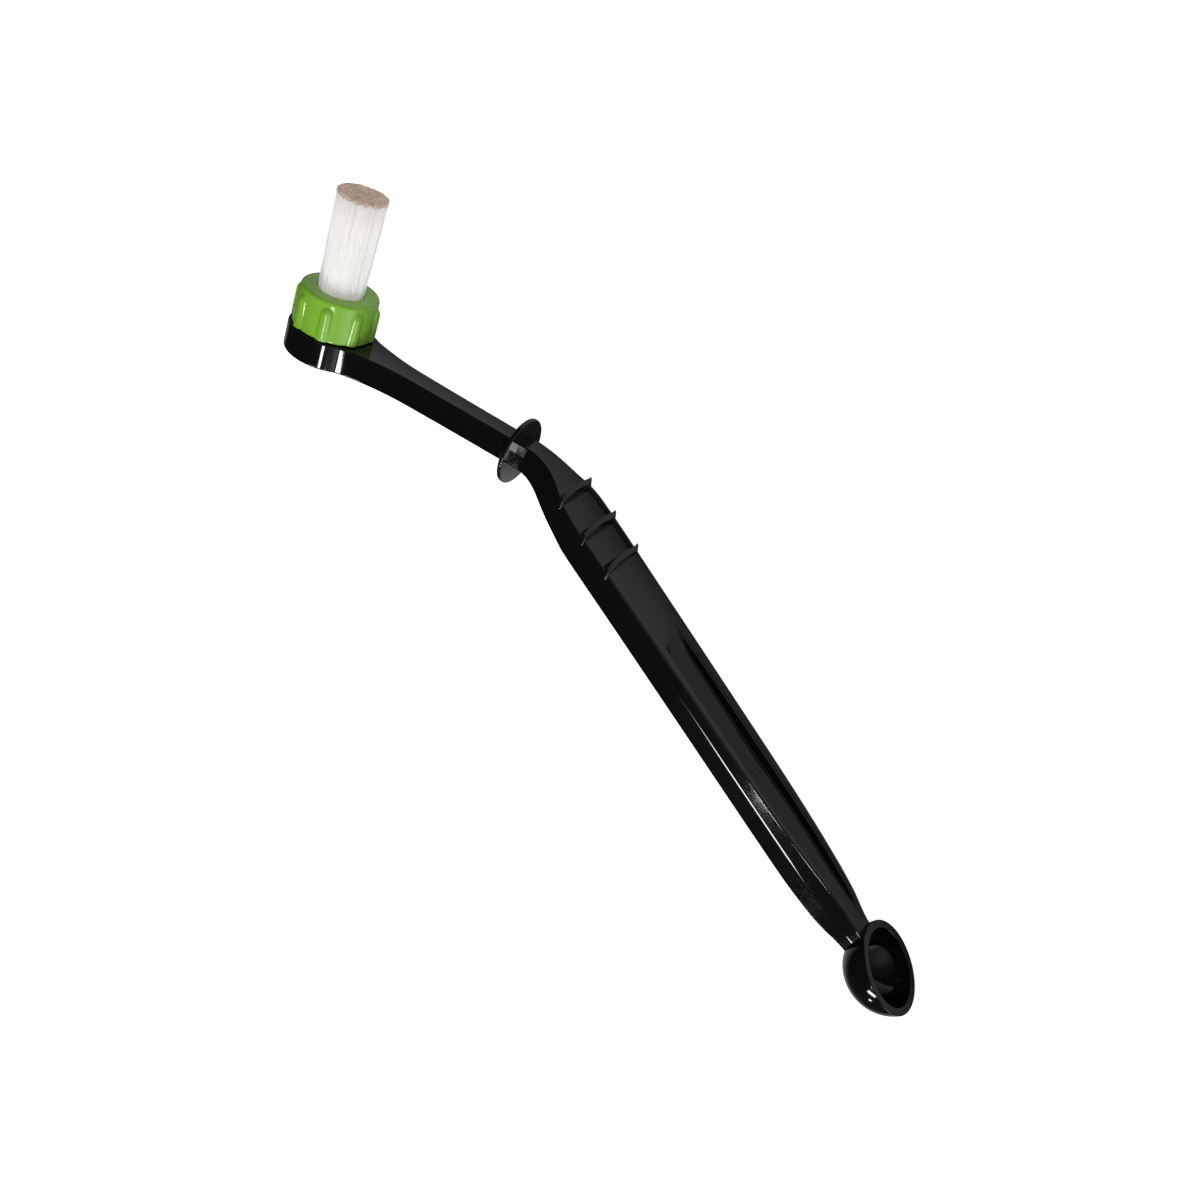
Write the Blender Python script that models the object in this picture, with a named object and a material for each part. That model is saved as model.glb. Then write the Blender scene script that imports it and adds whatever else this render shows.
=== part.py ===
# Coffee machine cleaning brush.
# A long black moulded handle carries, at one end, a head plate with a
# threaded hollow spigot; a green screw collar clamps a round insert full of
# nylon tufts on that spigot. The other end of the handle is a small round
# measuring scoop.
#
# Tool frame, in millimetres: x runs from the head along the straight neck,
# z is the bristle axis (up out of the head plate), y is sideways. The plate's
# top face is z = 0. The handle proper bends down from the neck by BEND.
# World frame, in metres: the tool lies on its side, as it does on a counter.
# World X = tool x, world Y = tool z, world Z = minus tool y.

import math

import bmesh
import bpy
from mathutils import Vector

MM = 0.001

# ------------------------------------------------------------- dimensions
BEND = math.radians(29.65)      # handle below the neck
X_BEND = 68.2                   # where the two top lines would meet
R_BEND = 24.0                   # radius of the top line at the bend

HEAD_R = 11.15                  # head plate
HEAD_T = 7.15
FLARE_X = 8.2                   # the plate's circle runs into the neck here

# half width of the top face, (x, half width), plate to splash guard
NECK_W = [(8.2, 7.55), (10.2, 6.5), (12.3, 5.85), (16.5, 4.8), (20.5, 4.05),
          (24.7, 3.6), (31.3, 3.38), (44.0, 3.14), (57.0, 3.0)]
# the same along the handle, (s, half width), s measured from the bend
GRIP_W = [(-6.4, 3.0), (-3.0, 3.05), (0.0, 3.35), (3.5, 4.05), (7.0, 5.3),
          (10.0, 6.75), (12.5, 7.7), (16.0, 8.25), (24.0, 8.4), (40.0, 8.2),
          (70.0, 7.75), (99.0, 7.15), (113.0, 6.4), (122.0, 5.55),
          (129.0, 4.75), (134.0, 4.05), (138.5, 3.5), (141.0, 3.5),
          (144.0, 4.0)]
NECK_T = [(-11.2, HEAD_T), (9.0, HEAD_T), (16.0, 7.1), (30.0, 7.0),
          (57.0, 6.9)]
GRIP_T = [(-6.4, 6.9), (0.0, 7.2), (3.0, 7.33), (7.0, 7.42), (12.0, 7.55),
          (16.0, 7.82), (20.0, 8.05), (26.0, 8.17), (48.0, 8.38),
          (70.0, 8.63), (99.0, 9.15), (113.0, 9.68), (122.0, 10.1),
          (130.0, 10.12), (135.5, 9.55), (140.0, 8.6), (144.0, 7.9)]
# half width at the bottom edge, as a share of the half width on top
GRIP_UNDER = [(-6.4, 0.97), (0.0, 1.03), (3.0, 1.03), (6.0, 0.96),
              (9.0, 0.89), (12.0, 0.84), (15.0, 0.835), (18.0, 0.875),
              (21.0, 0.92), (33.0, 0.905), (75.0, 0.9), (90.0, 0.895),
              (105.0, 0.885), (113.0, 0.878), (120.0, 0.86), (129.0, 0.85),
              (136.0, 0.86), (144.0, 0.88)]
# the top line sinks a little just before the scoop
DIP = [(124.0, 0.0), (131.0, 0.25), (135.5, 0.75), (139.0, 1.1),
       (144.0, 1.2)]

# long groove in the handle's top
GROOVE_W = [(49.5, 0.5), (53.0, 3.9), (58.0, 4.7), (70.0, 4.95), (95.0, 5.0),
            (113.0, 4.55), (122.0, 3.85), (129.0, 2.9), (134.0, 1.9),
            (138.0, 0.6)]
GROOVE_D = [(49.5, 0.0), (53.0, 1.5), (60.0, 2.5), (75.0, 2.95), (90.0, 3.2),
            (105.0, 2.9), (120.0, 2.7), (129.0, 2.2), (134.0, 1.3),
            (138.0, 0.0)]
GROOVE_SLOPE = 0.14             # wall lean, sideways per depth
GROOVE_LIP = 0.75               # rounding at the top of each wall

# splash guard
GUARD_X = 59.55
GUARD_T = 1.2
GUARD_R = 8.75
GUARD_Z = -3.4

# thumb ribs: thin fins that stand in planes of constant x
RIB_X = (77.5, 86.25, 94.85)    # head-side face of each
RIB_T = 1.1
RIB_CREST = 2.3                 # above the handle's top line
RIB_TIP = 0.85
RIB_FOOT = 1.7                  # how far each runs down the side wall
RIB_PROUD = 0.05                # beyond the handle's edge at its foot
RIB_LEAN = 0.7                  # the foot lies this much nearer the scoop
# the two panels between the ribs are sunk, with a thin rail on each side;
# the ends of the sunk length lie inside the first and the last rib
PANEL_S = (11.5, 31.5)
PANEL_D = 0.75
PANEL_RAIL = 0.85

# scoop
SCOOP_S = 151.2                 # centre of the rim, along the handle
SCOOP_P = -1.26                 # and above its top line
SCOOP_TILT = math.radians(6.3)  # the rim leans away from the head
SCOOP_R = 11.7
SCOOP_RIN = 9.65
SCOOP_FLOOR = 9.95              # inside depth on the axis

# screw joint on the head
PITCH = 2.0                     # lift per turn of the collar
THREAD_R = 7.60                 # mean radius on the spigot
THREAD_A = 0.35                 # half depth of the thread
THREAD_GAP = 0.32
SPIGOT_H = 7.6
BORE_R = 6.3
BORE_Z = -1.3

COLLAR_Z0 = 0.3
COLLAR_H = 10.75                # top face above the plate
COLLAR_R0 = 10.35               # body radius at the bottom
COLLAR_R1 = 9.95                # and at the shoulder
COLLAR_FILLET = 0.95
COLLAR_RIBS = 8
COLLAR_RIB_R = 10.95
COLLAR_RIB_TOP = 8.9
COLLAR_RIB_HALF = 1.55
COLLAR_PHASE = math.radians(-67.8)
COLLAR_HOLE = 5.95
SHOULDER_Z = 9.6
RECESS_R = 8.35

PLUG_R = 6.0
PLUG_Z0 = -1.0
FLANGE_R = 7.3
FLANGE_Z0 = 7.9
FLANGE_Z1 = 9.3

TUFT_PITCH = 2.3                # spacing of the holes
HOLE_R = 0.875
HOLE_Z = 1.2
TUFT_END = 36.2                 # tips above the plate
TUFT_SPREAD = 1.19              # how much wider the bundle is at its tips
TUFT_FOOT = 3.5

# the middle of the outline's box lies on the world origin
BOX_MID_X = 98.68
BOX_MID_Z = -25.68
REST_HALF = 11.7

# --------------------------------------------------------------- helpers


def smooth(table, s):
    """Monotone cubic curve through the points of a table."""
    n = len(table)
    if s <= table[0][0]:
        return table[0][1]
    if s >= table[-1][0]:
        return table[-1][1]
    d = [(table[i + 1][1] - table[i][1]) / (table[i + 1][0] - table[i][0])
         for i in range(n - 1)]
    m = [d[0]]
    for i in range(1, n - 1):
        if d[i - 1] * d[i] <= 0.0:
            m.append(0.0)
        else:
            h0 = table[i][0] - table[i - 1][0]
            h1 = table[i + 1][0] - table[i][0]
            w0, w1 = 2 * h1 + h0, h1 + 2 * h0
            m.append((w0 + w1) / (w0 / d[i - 1] + w1 / d[i]))
    m.append(d[-1])
    for i in range(n - 1):
        x0, x1 = table[i][0], table[i + 1][0]
        if s <= x1:
            h = x1 - x0
            t = (s - x0) / h
            return ((2 * t ** 3 - 3 * t ** 2 + 1) * table[i][1]
                    + (t ** 3 - 2 * t ** 2 + t) * h * m[i]
                    + (-2 * t ** 3 + 3 * t ** 2) * table[i + 1][1]
                    + (t ** 3 - t ** 2) * h * m[i + 1])
    return table[-1][1]


def mesh_object(name, verts, faces, parent, material, origin=(0, 0, 0)):
    """An object from points in the tool frame; origin is its own zero."""
    me = bpy.data.meshes.new(name)
    o = Vector(origin)
    me.from_pydata([(Vector(v) - o) * MM for v in verts], [], faces)
    me.update()
    bm = bmesh.new()
    bm.from_mesh(me)
    bmesh.ops.recalc_face_normals(bm, faces=bm.faces)
    bm.to_mesh(me)
    bm.free()
    ob = bpy.data.objects.new(name, me)
    bpy.context.scene.collection.objects.link(ob)
    ob.parent = parent
    ob.location = o * MM
    if material:
        me.materials.append(material)
    me.shade_smooth()
    me.set_sharp_from_angle(angle=math.radians(35))
    return ob


def helper(ob):
    ob.hide_render = True
    ob.display_type = 'WIRE'
    ob.hide_set(True)
    return ob


def rings(loops, close=False):
    """Faces between equal closed loops; ends capped unless close is set."""
    verts, faces = [], []
    n = len(loops[0])
    for lp in loops:
        verts += lp
    k = len(loops)
    for i in range(k if close else k - 1):
        a, b = i * n, ((i + 1) % k) * n
        for j in range(n):
            j2 = (j + 1) % n
            faces.append((a + j, a + j2, b + j2, b + j))
    if not close:
        faces.append(tuple(range(n - 1, -1, -1)))
        faces.append(tuple((k - 1) * n + j for j in range(n)))
    return verts, faces


def turned(profile, n, frame=None, start=0.0):
    """A solid of revolution from (radius, height) points, poles allowed."""
    verts, faces, rows = [], [], []
    for r, z in profile:
        if r < 1e-9:
            rows.append([len(verts)])
            verts.append((0.0, 0.0, z))
        else:
            rows.append(list(range(len(verts), len(verts) + n)))
            for j in range(n):
                a = start + 2 * math.pi * j / n
                verts.append((r * math.cos(a), r * math.sin(a), z))
    for r0, r1 in zip(rows, rows[1:]):
        for j in range(n):
            j2 = (j + 1) % n
            if len(r0) == 1:
                faces.append((r0[0], r1[j], r1[j2]))
            elif len(r1) == 1:
                faces.append((r0[j], r1[0], r0[j2]))
            else:
                faces.append((r0[j], r1[j], r1[j2], r0[j2]))
    if frame:
        verts = [frame(v) for v in verts]
    return verts, faces


def boolean(ob, other, op):
    md = ob.modifiers.new(op.lower() + '_' + other.name, 'BOOLEAN')
    md.operation = op
    md.solver = 'EXACT'
    md.object = other


def material(name, colour, roughness, metallic=0.0):
    m = bpy.data.materials.new(name)
    m.use_nodes = True
    b = m.node_tree.nodes['Principled BSDF']
    b.inputs['Base Color'].default_value = (*colour, 1.0)
    b.inputs['Roughness'].default_value = roughness
    b.inputs['Metallic'].default_value = metallic
    m.diffuse_color = (*colour, 1.0)
    return m


# ---------------------------------------------------------- handle shape
X_ARC = X_BEND - R_BEND * math.tan(BEND / 2)
S_ARC = R_BEND * math.tan(BEND / 2)


def on_handle(s, y, p):
    """Tool-frame point at s along the handle, p above its top line."""
    return (X_BEND + s * math.cos(BEND) + p * math.sin(BEND), y,
            -s * math.sin(BEND) + p * math.cos(BEND))


def half_section(w, t, groove_w, groove_d, under, ridge, rnd, rnd_low):
    """Right half of a cross section, top middle to bottom middle."""
    foot = max(groove_w - 0.1 - GROOVE_SLOPE * groove_d, 0.3 * groove_w)
    wb = w * under
    lip = min(GROOVE_LIP, 0.5 * groove_d, 0.45 * (w - rnd - groove_w))
    edge = max(lip, 0.05)
    return [(0.0, -groove_d), (foot, -groove_d), (groove_w, -lip),
            (groove_w + 0.3 * edge, -0.3 * lip), (groove_w + edge, 0.0),
            (w - rnd, 0.0), (w - 0.3 * rnd, -0.3 * rnd), (w, -rnd),
            (w + ridge, -0.42 * t), (wb, -(t - rnd_low)),
            (wb - 0.3 * rnd_low, -(t - 0.3 * rnd_low)), (wb - rnd_low, -t),
            (0.0, -t)]


def stations():
    """(place, half width, thickness, groove, ...) from tip to scoop."""
    out = []
    for k in range(11):                       # round end of the plate
        a = math.radians(6 + 12 * k)
        out.append(('x', -HEAD_R * math.cos(a), HEAD_R * math.sin(a)))
    for x in (FLARE_X, 9.2, 10.6, 12.3, 14.3, 16.5, 18.5, 20.5, 24.7, 31.0,
              38.0, 45.0, 52.0, 57.0):
        out.append(('x', x, smooth(NECK_W, x)))
    for k in range(7):                        # the bend
        out.append(('a', k / 6.0, 0.0))
    for s in (8.0, 10.0, 11.45, 11.55, 14.0, 17.0, 20.0, 26.0, 31.45, 31.55,
              34.0, 42.0, 49.5, 51.0,
              53.0, 55.5, 58.0, 64.0, 70.0, 80.0, 90.0, 100.0, 107.0, 113.0,
              118.0, 122.0, 126.0, 129.0, 131.5, 134.0, 136.0, 138.0, 139.5,
              141.0, 142.5, 144.0):
        out.append(('s', s, 0.0))
    return out


def handle_loops():
    loops = []
    for kind, v, w in stations():
        gw, gd, under, ridge = 0.0, 0.0, 1.0, 0.0
        if kind == 'x':
            t = smooth(NECK_T, v)
            if v > FLARE_X:
                under = 1.0 - 0.05 * min(1.0, (v - FLARE_X) / 20.0)
            place = (v, 0.0, 0.0)
            gw = 0.4 * w
            rnd, low = min(0.45, 0.3 * w), min(0.6, 0.3 * w)
            dip = 0.0
        else:
            if kind == 'a':
                phi = BEND * v
                place = (X_ARC + R_BEND * math.sin(phi),
                         -R_BEND * (1 - math.cos(phi)), phi)
                s = S_ARC * (2 * v - 1)
            else:
                s = v
                q = on_handle(s, 0.0, 0.0)
                place = (q[0], q[2], BEND)
            w = smooth(GRIP_W, s)
            t = smooth(GRIP_T, s)
            dip = smooth(DIP, s)
            under = smooth(GRIP_UNDER, s)
            ridge = 0.16 * min(1.0, max(0.0, (s - 4) / 14.0))
            if s > 128.0:
                ridge *= max(0.0, (141.0 - s) / 13.0)
            gd = smooth(GROOVE_D, s)
            gw = smooth(GROOVE_W, s) if gd > 0.01 else 0.4 * w
            if PANEL_S[0] < s < PANEL_S[1]:
                gd, gw = PANEL_D, w - PANEL_RAIL
            rnd, low = 0.55, 0.9
        x0, z0, ang = place
        nx, nz = math.sin(ang), math.cos(ang)
        half = half_section(w, t - dip, gw, gd, under, ridge, rnd, low)
        ring = [(y, p) for y, p in half]
        ring += [(-y, p) for y, p in reversed(half[1:-1])]
        loops.append([(x0 + (p - dip) * nx, y, z0 + (p - dip) * nz)
                      for y, p in ring])
    return loops


def rib_solid(x0):
    """One thumb rib, as an outline in y and height, extruded along x."""
    xm = x0 + RIB_T / 2
    s = (xm - X_BEND) / math.cos(BEND)
    hw = smooth(GRIP_W, s + RIB_LEAN) + RIB_PROUD
    outline = [(-hw, -RIB_FOOT)]
    n = 12
    for k in range(n + 1):
        y = -hw + 2 * hw * k / n
        p = RIB_TIP + (RIB_CREST - RIB_TIP) * (1 - abs(y / hw) ** 2.2)
        outline.append((y, p))
    outline.append((hw, -RIB_FOOT))
    loops = []
    for x in (x0, x0 + RIB_T):
        loops.append([(x, y, p / math.cos(BEND) - (x - X_BEND)
                       * math.tan(BEND)) for y, p in outline])
    return rings(loops)


SCOOP_C = Vector(on_handle(SCOOP_S, 0.0, SCOOP_P))
SCOOP_ANG = BEND + SCOOP_TILT
SCOOP_N = Vector((math.sin(SCOOP_ANG), 0.0, math.cos(SCOOP_ANG)))
SCOOP_U = Vector((math.cos(SCOOP_ANG), 0.0, -math.sin(SCOOP_ANG)))


def scoop_frame(v):
    q = SCOOP_C + SCOOP_U * v[0] + Vector((0, 1, 0)) * v[1] + SCOOP_N * v[2]
    return (q.x, q.y, q.z)


def arc(cx, cz, r, a0, a1, n):
    return [(cx + r * math.cos(math.radians(a0 + (a1 - a0) * k / n)),
             cz + r * math.sin(math.radians(a0 + (a1 - a0) * k / n)))
            for k in range(n + 1)]


# ---------------------------------------------------------------- thread


def thread(theta, z):
    """Radius offset of the thread flank: a soft triangle wave."""
    u = (z / PITCH - theta / (2 * math.pi)) % 1.0
    tri = 4 * abs(u - 0.5) - 1.0
    return THREAD_A * max(-1.0, min(1.0, 1.15 * tri))


def fade(z, z0, z1, run):
    return max(0.0, min(1.0, (z - z0) / run, (z1 - z) / run))


def spigot_solid(n=48):
    loops = []
    z0, z1 = 0.35, SPIGOT_H - 0.2
    levels = [-1.0, 0.1]
    k = int(round((z1 - z0) / 0.333))
    levels += [z0 + (z1 - z0) * i / k for i in range(k + 1)]
    levels += [SPIGOT_H]
    for z in levels:
        ring = []
        for j in range(n):
            th = 2 * math.pi * j / n
            f = fade(z, z0, z1, 0.6)
            r = THREAD_R + (thread(th, z) * f - THREAD_A * (1 - f))
            ring.append((r * math.cos(th), r * math.sin(th), z))
        loops.append(ring)
    return rings(loops)


def rib_height(dtheta, z, r_body):
    """How far a grip rib stands beyond the collar's body."""
    d = abs(dtheta) * COLLAR_RIB_R
    top = COLLAR_RIB_TOP - COLLAR_RIB_HALF
    e = math.hypot(d, max(0.0, z - top)) / COLLAR_RIB_HALF
    if e >= 1.0:
        return 0.0
    return (COLLAR_RIB_R - r_body) * math.sqrt(1.0 - e ** 4)


def collar_solid(n=48):
    """A closed ring of loops: out and up, over the top, down the inside."""
    loops = []

    def ring(fn):
        lp = []
        for j in range(n):
            th = COLLAR_PHASE + 2 * math.pi * j / n
            r, z = fn(th)
            lp.append((r * math.cos(th), r * math.sin(th), z))
        loops.append(lp)

    def outside(z):
        def fn(th):
            f = (z - COLLAR_Z0) / (COLLAR_H - COLLAR_FILLET - COLLAR_Z0)
            body = COLLAR_R0 + (COLLAR_R1 - COLLAR_R0) * f
            step = 2 * math.pi / COLLAR_RIBS
            d = (th - COLLAR_PHASE + step / 2) % step - step / 2
            return body + rib_height(d, z, body), z
        return fn

    for z in (COLLAR_Z0, 2.5, 5.0, 7.0, 7.8, 8.4, 8.75, 9.1,
              COLLAR_H - COLLAR_FILLET):
        ring(outside(z))
    cx, cz = COLLAR_R1 - COLLAR_FILLET, COLLAR_H - COLLAR_FILLET
    for a in (30, 60, 90):
        r = cx + COLLAR_FILLET * math.cos(math.radians(a))
        z = cz + COLLAR_FILLET * math.sin(math.radians(a))
        ring(lambda th, r=r, z=z: (r, z))
    ring(lambda th: (COLLAR_HOLE + 0.25, COLLAR_H))
    ring(lambda th: (COLLAR_HOLE, COLLAR_H - 0.25))
    ring(lambda th: (COLLAR_HOLE, SHOULDER_Z))
    ring(lambda th: (RECESS_R, SHOULDER_Z))
    z0, z1 = 0.35, SPIGOT_H - 0.2
    k = int(round((z1 - z0) / 0.333))
    ring(lambda th: (RECESS_R, SPIGOT_H + 0.3))
    for i in range(k, -1, -1):
        z = z0 + (z1 - z0) * i / k
        ring(lambda th, z=z: (THREAD_R + THREAD_GAP + thread(th, z), z))
    ring(lambda th: (THREAD_R + THREAD_GAP + THREAD_A + 0.15, COLLAR_Z0))
    return rings(loops, close=True)


def tuft_sites():
    sites = [(0.0, 0.0)]
    for k in range(6):
        a = math.radians(60 * k)
        sites.append((TUFT_PITCH * math.cos(a), TUFT_PITCH * math.sin(a)))
    for k in range(12):
        a = math.radians(15 + 30 * k)
        r = 4.5
        sites.append((r * math.cos(a), r * math.sin(a)))
    return sites


def tuft_solid(cx, cy, n=8):
    """A filament group: slim in its hole, spreading to the tips."""
    loops = []
    for z, r, f in ((TUFT_FOOT, 0.5, 0.0), (FLANGE_Z1, 0.55, 0.0),
                    (COLLAR_H, 0.82, 0.04), (14.0, 0.93, 0.15),
                    (TUFT_END, 1.14, 1.0)):
        k = 1.0 + (TUFT_SPREAD - 1.0) * f
        loops.append([(cx * k + r * math.cos(2 * math.pi * j / n),
                       cy * k + r * math.sin(2 * math.pi * j / n), z)
                      for j in range(n)])
    return rings(loops)


def box_solid(cx, cy, ang, lx, ly, z0, z1):
    c, s = math.cos(ang), math.sin(ang)
    loops = []
    for z in (z0, z1):
        loops.append([(cx + c * x - s * y, cy + s * x + c * y, z)
                      for x, y in ((-lx, -ly), (lx, -ly), (lx, ly),
                                   (-lx, ly))])
    return rings(loops)


# ----------------------------------------------------------------- model


def main():
    for ob in list(bpy.data.objects):
        bpy.data.objects.remove(ob, do_unlink=True)

    black = material('gloss_black_plastic', (0.006, 0.006, 0.007), 0.12)
    green = material('green_plastic', (0.19, 0.43, 0.035), 0.32)
    nylon = material('white_nylon', (0.86, 0.84, 0.81), 0.45)
    insert = material('insert_plastic', (0.62, 0.62, 0.58), 0.4)
    wire = material('anchor_metal', (0.72, 0.70, 0.66), 0.3, 1.0)

    # the tool frame, laid on its side on the counter
    frame = bpy.data.objects.new('tool_frame', None)
    bpy.context.scene.collection.objects.link(frame)
    frame.rotation_euler = (-math.pi / 2, 0.0, 0.0)
    frame.location = (-BOX_MID_X * MM, -BOX_MID_Z * MM, REST_HALF * MM)

    # handle: one moulding
    handle = mesh_object('handle', *rings(handle_loops()), frame, black)

    spigot = helper(mesh_object('spigot_core', *spigot_solid(), frame, None))
    boolean(handle, spigot, 'UNION')
    guard = helper(mesh_object(
        'guard_core',
        *turned([(0, 0), (GUARD_R - 0.25, 0), (GUARD_R, 0.25),
                 (GUARD_R, GUARD_T - 0.25), (GUARD_R - 0.25, GUARD_T),
                 (0, GUARD_T)], 40,
                lambda v: (GUARD_X + v[2], v[0], GUARD_Z + v[1])),
        frame, None))
    boolean(handle, guard, 'UNION')
    for i, x0 in enumerate(RIB_X):
        rib = helper(mesh_object('rib_core_%d' % (i + 1), *rib_solid(x0),
                                 frame, None))
        boolean(handle, rib, 'UNION')
    bowl_profile = [(0.0, -SCOOP_R)] + arc(0, 0, SCOOP_R, -80, 0, 8)
    bowl_profile += [(SCOOP_R, 0.6), (0.0, 0.6)]
    bowl = helper(mesh_object('bowl_core',
                              *turned(bowl_profile, 40, scoop_frame),
                              frame, None))
    boolean(handle, bowl, 'UNION')
    drop = SCOOP_FLOOR - SCOOP_RIN
    mouth_profile = [(0.0, -SCOOP_FLOOR)]
    mouth_profile += arc(0, -drop, SCOOP_RIN, -80, 0, 8)
    mouth_profile += [(SCOOP_RIN, 0.0), (SCOOP_R + 1.2, 0.0),
                      (SCOOP_R + 1.2, 6.0), (0.0, 6.0)]
    mouth = helper(mesh_object('mouth_cut',
                               *turned(mouth_profile, 40, scoop_frame),
                               frame, None))
    boolean(handle, mouth, 'DIFFERENCE')
    bore = helper(mesh_object('bore_cut',
                              *turned([(0, BORE_Z), (BORE_R, BORE_Z),
                                       (BORE_R, SPIGOT_H + 2),
                                       (0, SPIGOT_H + 2)], 48),
                              frame, None))
    boolean(handle, bore, 'DIFFERENCE')

    # brush insert, on the bristle axis, with its nineteen holes
    sites = tuft_sites()
    holder = mesh_object(
        'bristle_holder',
        *turned([(0, PLUG_Z0), (PLUG_R - 0.4, PLUG_Z0),
                 (PLUG_R, PLUG_Z0 + 0.4), (PLUG_R, FLANGE_Z0),
                 (FLANGE_R, FLANGE_Z0), (FLANGE_R, FLANGE_Z1 - 0.2),
                 (FLANGE_R - 0.2, FLANGE_Z1), (0, FLANGE_Z1)], 48),
        frame, insert, origin=(0, 0, FLANGE_Z0))
    verts, faces = [], []
    for cx, cy in sites:
        v, f = turned([(0, HOLE_Z), (HOLE_R, HOLE_Z),
                       (HOLE_R, FLANGE_Z1 + 1), (0, FLANGE_Z1 + 1)], 10)
        base = len(verts)
        verts += [(p[0] + cx, p[1] + cy, p[2]) for p in v]
        faces += [tuple(base + i for i in q) for q in f]
    holes = helper(mesh_object('holes_cut', verts, faces, frame, None))
    boolean(holder, holes, 'DIFFERENCE')

    for i, (cx, cy) in enumerate(sites):
        mesh_object('bristle_tuft_%02d' % (i + 1), *tuft_solid(cx, cy),
                    frame, nylon, origin=(cx, cy, FLANGE_Z1))
        ang = math.atan2(cy, cx) + math.pi / 2
        mesh_object('tuft_anchor_%02d' % (i + 1),
                    *box_solid(cx, cy, ang, 0.55, 0.15, HOLE_Z + 0.4,
                               HOLE_Z + 1.9),
                    frame, wire, origin=(cx, cy, HOLE_Z + 0.4))

    # screw collar, its origin on its turning axis
    mesh_object('collar_nut', *collar_solid(), frame, green,
                origin=(0, 0, COLLAR_Z0))


main()
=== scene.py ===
import math
import random

import bmesh
import bpy
import numpy as np
from mathutils import Matrix, Vector
from mathutils.bvhtree import BVHTree

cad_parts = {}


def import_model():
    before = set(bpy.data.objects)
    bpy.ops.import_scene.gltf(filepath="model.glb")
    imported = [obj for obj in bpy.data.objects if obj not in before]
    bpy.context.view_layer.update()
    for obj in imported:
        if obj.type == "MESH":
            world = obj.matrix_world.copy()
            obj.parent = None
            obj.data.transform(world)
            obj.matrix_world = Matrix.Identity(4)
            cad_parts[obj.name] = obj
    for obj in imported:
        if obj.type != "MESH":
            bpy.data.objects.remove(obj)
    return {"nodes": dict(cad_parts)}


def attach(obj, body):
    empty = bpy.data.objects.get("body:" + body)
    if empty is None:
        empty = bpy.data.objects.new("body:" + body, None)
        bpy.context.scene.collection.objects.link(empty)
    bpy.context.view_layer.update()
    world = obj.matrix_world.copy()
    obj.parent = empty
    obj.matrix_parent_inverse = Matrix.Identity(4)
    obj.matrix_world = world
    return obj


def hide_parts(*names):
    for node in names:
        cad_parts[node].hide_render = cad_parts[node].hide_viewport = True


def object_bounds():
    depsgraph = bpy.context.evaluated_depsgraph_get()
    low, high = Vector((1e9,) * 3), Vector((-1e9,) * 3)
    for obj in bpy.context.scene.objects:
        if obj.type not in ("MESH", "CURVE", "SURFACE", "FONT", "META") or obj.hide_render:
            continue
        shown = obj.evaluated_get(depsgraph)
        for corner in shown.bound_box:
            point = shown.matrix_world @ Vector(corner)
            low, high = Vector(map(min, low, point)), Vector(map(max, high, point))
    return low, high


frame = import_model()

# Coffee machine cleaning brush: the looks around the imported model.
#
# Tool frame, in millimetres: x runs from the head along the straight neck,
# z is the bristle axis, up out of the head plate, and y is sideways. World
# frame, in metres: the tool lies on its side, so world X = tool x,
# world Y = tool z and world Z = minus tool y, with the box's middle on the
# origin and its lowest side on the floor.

scene = bpy.context.scene
cad_box = [list(map(float, v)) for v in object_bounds()]

MM = 0.001
BOX_MID_X, BOX_MID_Z, REST_HALF = 98.68, -25.68, 11.7

# ---------------------------------------------------------------- dimensions
BEND = math.radians(29.65)
X_BEND = 68.2
R_BEND = 24.0
X_ARC = X_BEND - R_BEND * math.tan(BEND / 2)
S_ARC = R_BEND * math.tan(BEND / 2)

HEAD_R, HEAD_T, FLARE_X = 11.15, 7.15, 8.2
NECK_W = [(8.2, 7.55), (9.4, 6.94), (10.6, 6.38), (12.3, 5.83),
          (16.5, 4.8), (20.5, 4.05),
          (24.7, 3.6), (31.3, 3.38), (44.0, 3.14), (57.0, 3.0)]
GRIP_W = [(-6.4, 3.0), (-3.0, 3.05), (0.0, 3.35), (3.5, 4.05), (7.0, 5.3),
          (10.0, 6.75), (12.5, 7.7), (16.0, 8.25), (24.0, 8.4), (40.0, 8.2),
          (70.0, 7.75), (99.0, 7.15), (113.0, 6.4), (122.0, 5.55),
          (129.0, 4.75), (134.0, 4.05), (138.5, 3.5), (141.0, 3.45),
          (144.0, 3.45)]
NECK_T = [(-11.2, HEAD_T), (9.0, HEAD_T), (16.0, 7.1), (30.0, 7.0),
          (57.0, 6.9)]
GRIP_T = [(-6.4, 6.9), (0.0, 7.2), (3.0, 7.33), (7.0, 7.42), (12.0, 7.55),
          (16.0, 7.82), (20.0, 8.05), (26.0, 8.17), (48.0, 8.38),
          (70.0, 8.63), (99.0, 9.15), (113.0, 9.68), (122.0, 10.1),
          (130.0, 10.12), (135.5, 9.55), (140.0, 8.6), (144.0, 7.9)]
GRIP_UNDER = [(-6.4, 0.97), (0.0, 1.03), (3.0, 1.03), (6.0, 0.96),
              (9.0, 0.89), (12.0, 0.84), (15.0, 0.835), (18.0, 0.875),
              (21.0, 0.92), (33.0, 0.905), (75.0, 0.9), (90.0, 0.895),
              (105.0, 0.885), (113.0, 0.878), (120.0, 0.86), (129.0, 0.85),
              (136.0, 0.86), (144.0, 0.88)]
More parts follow.
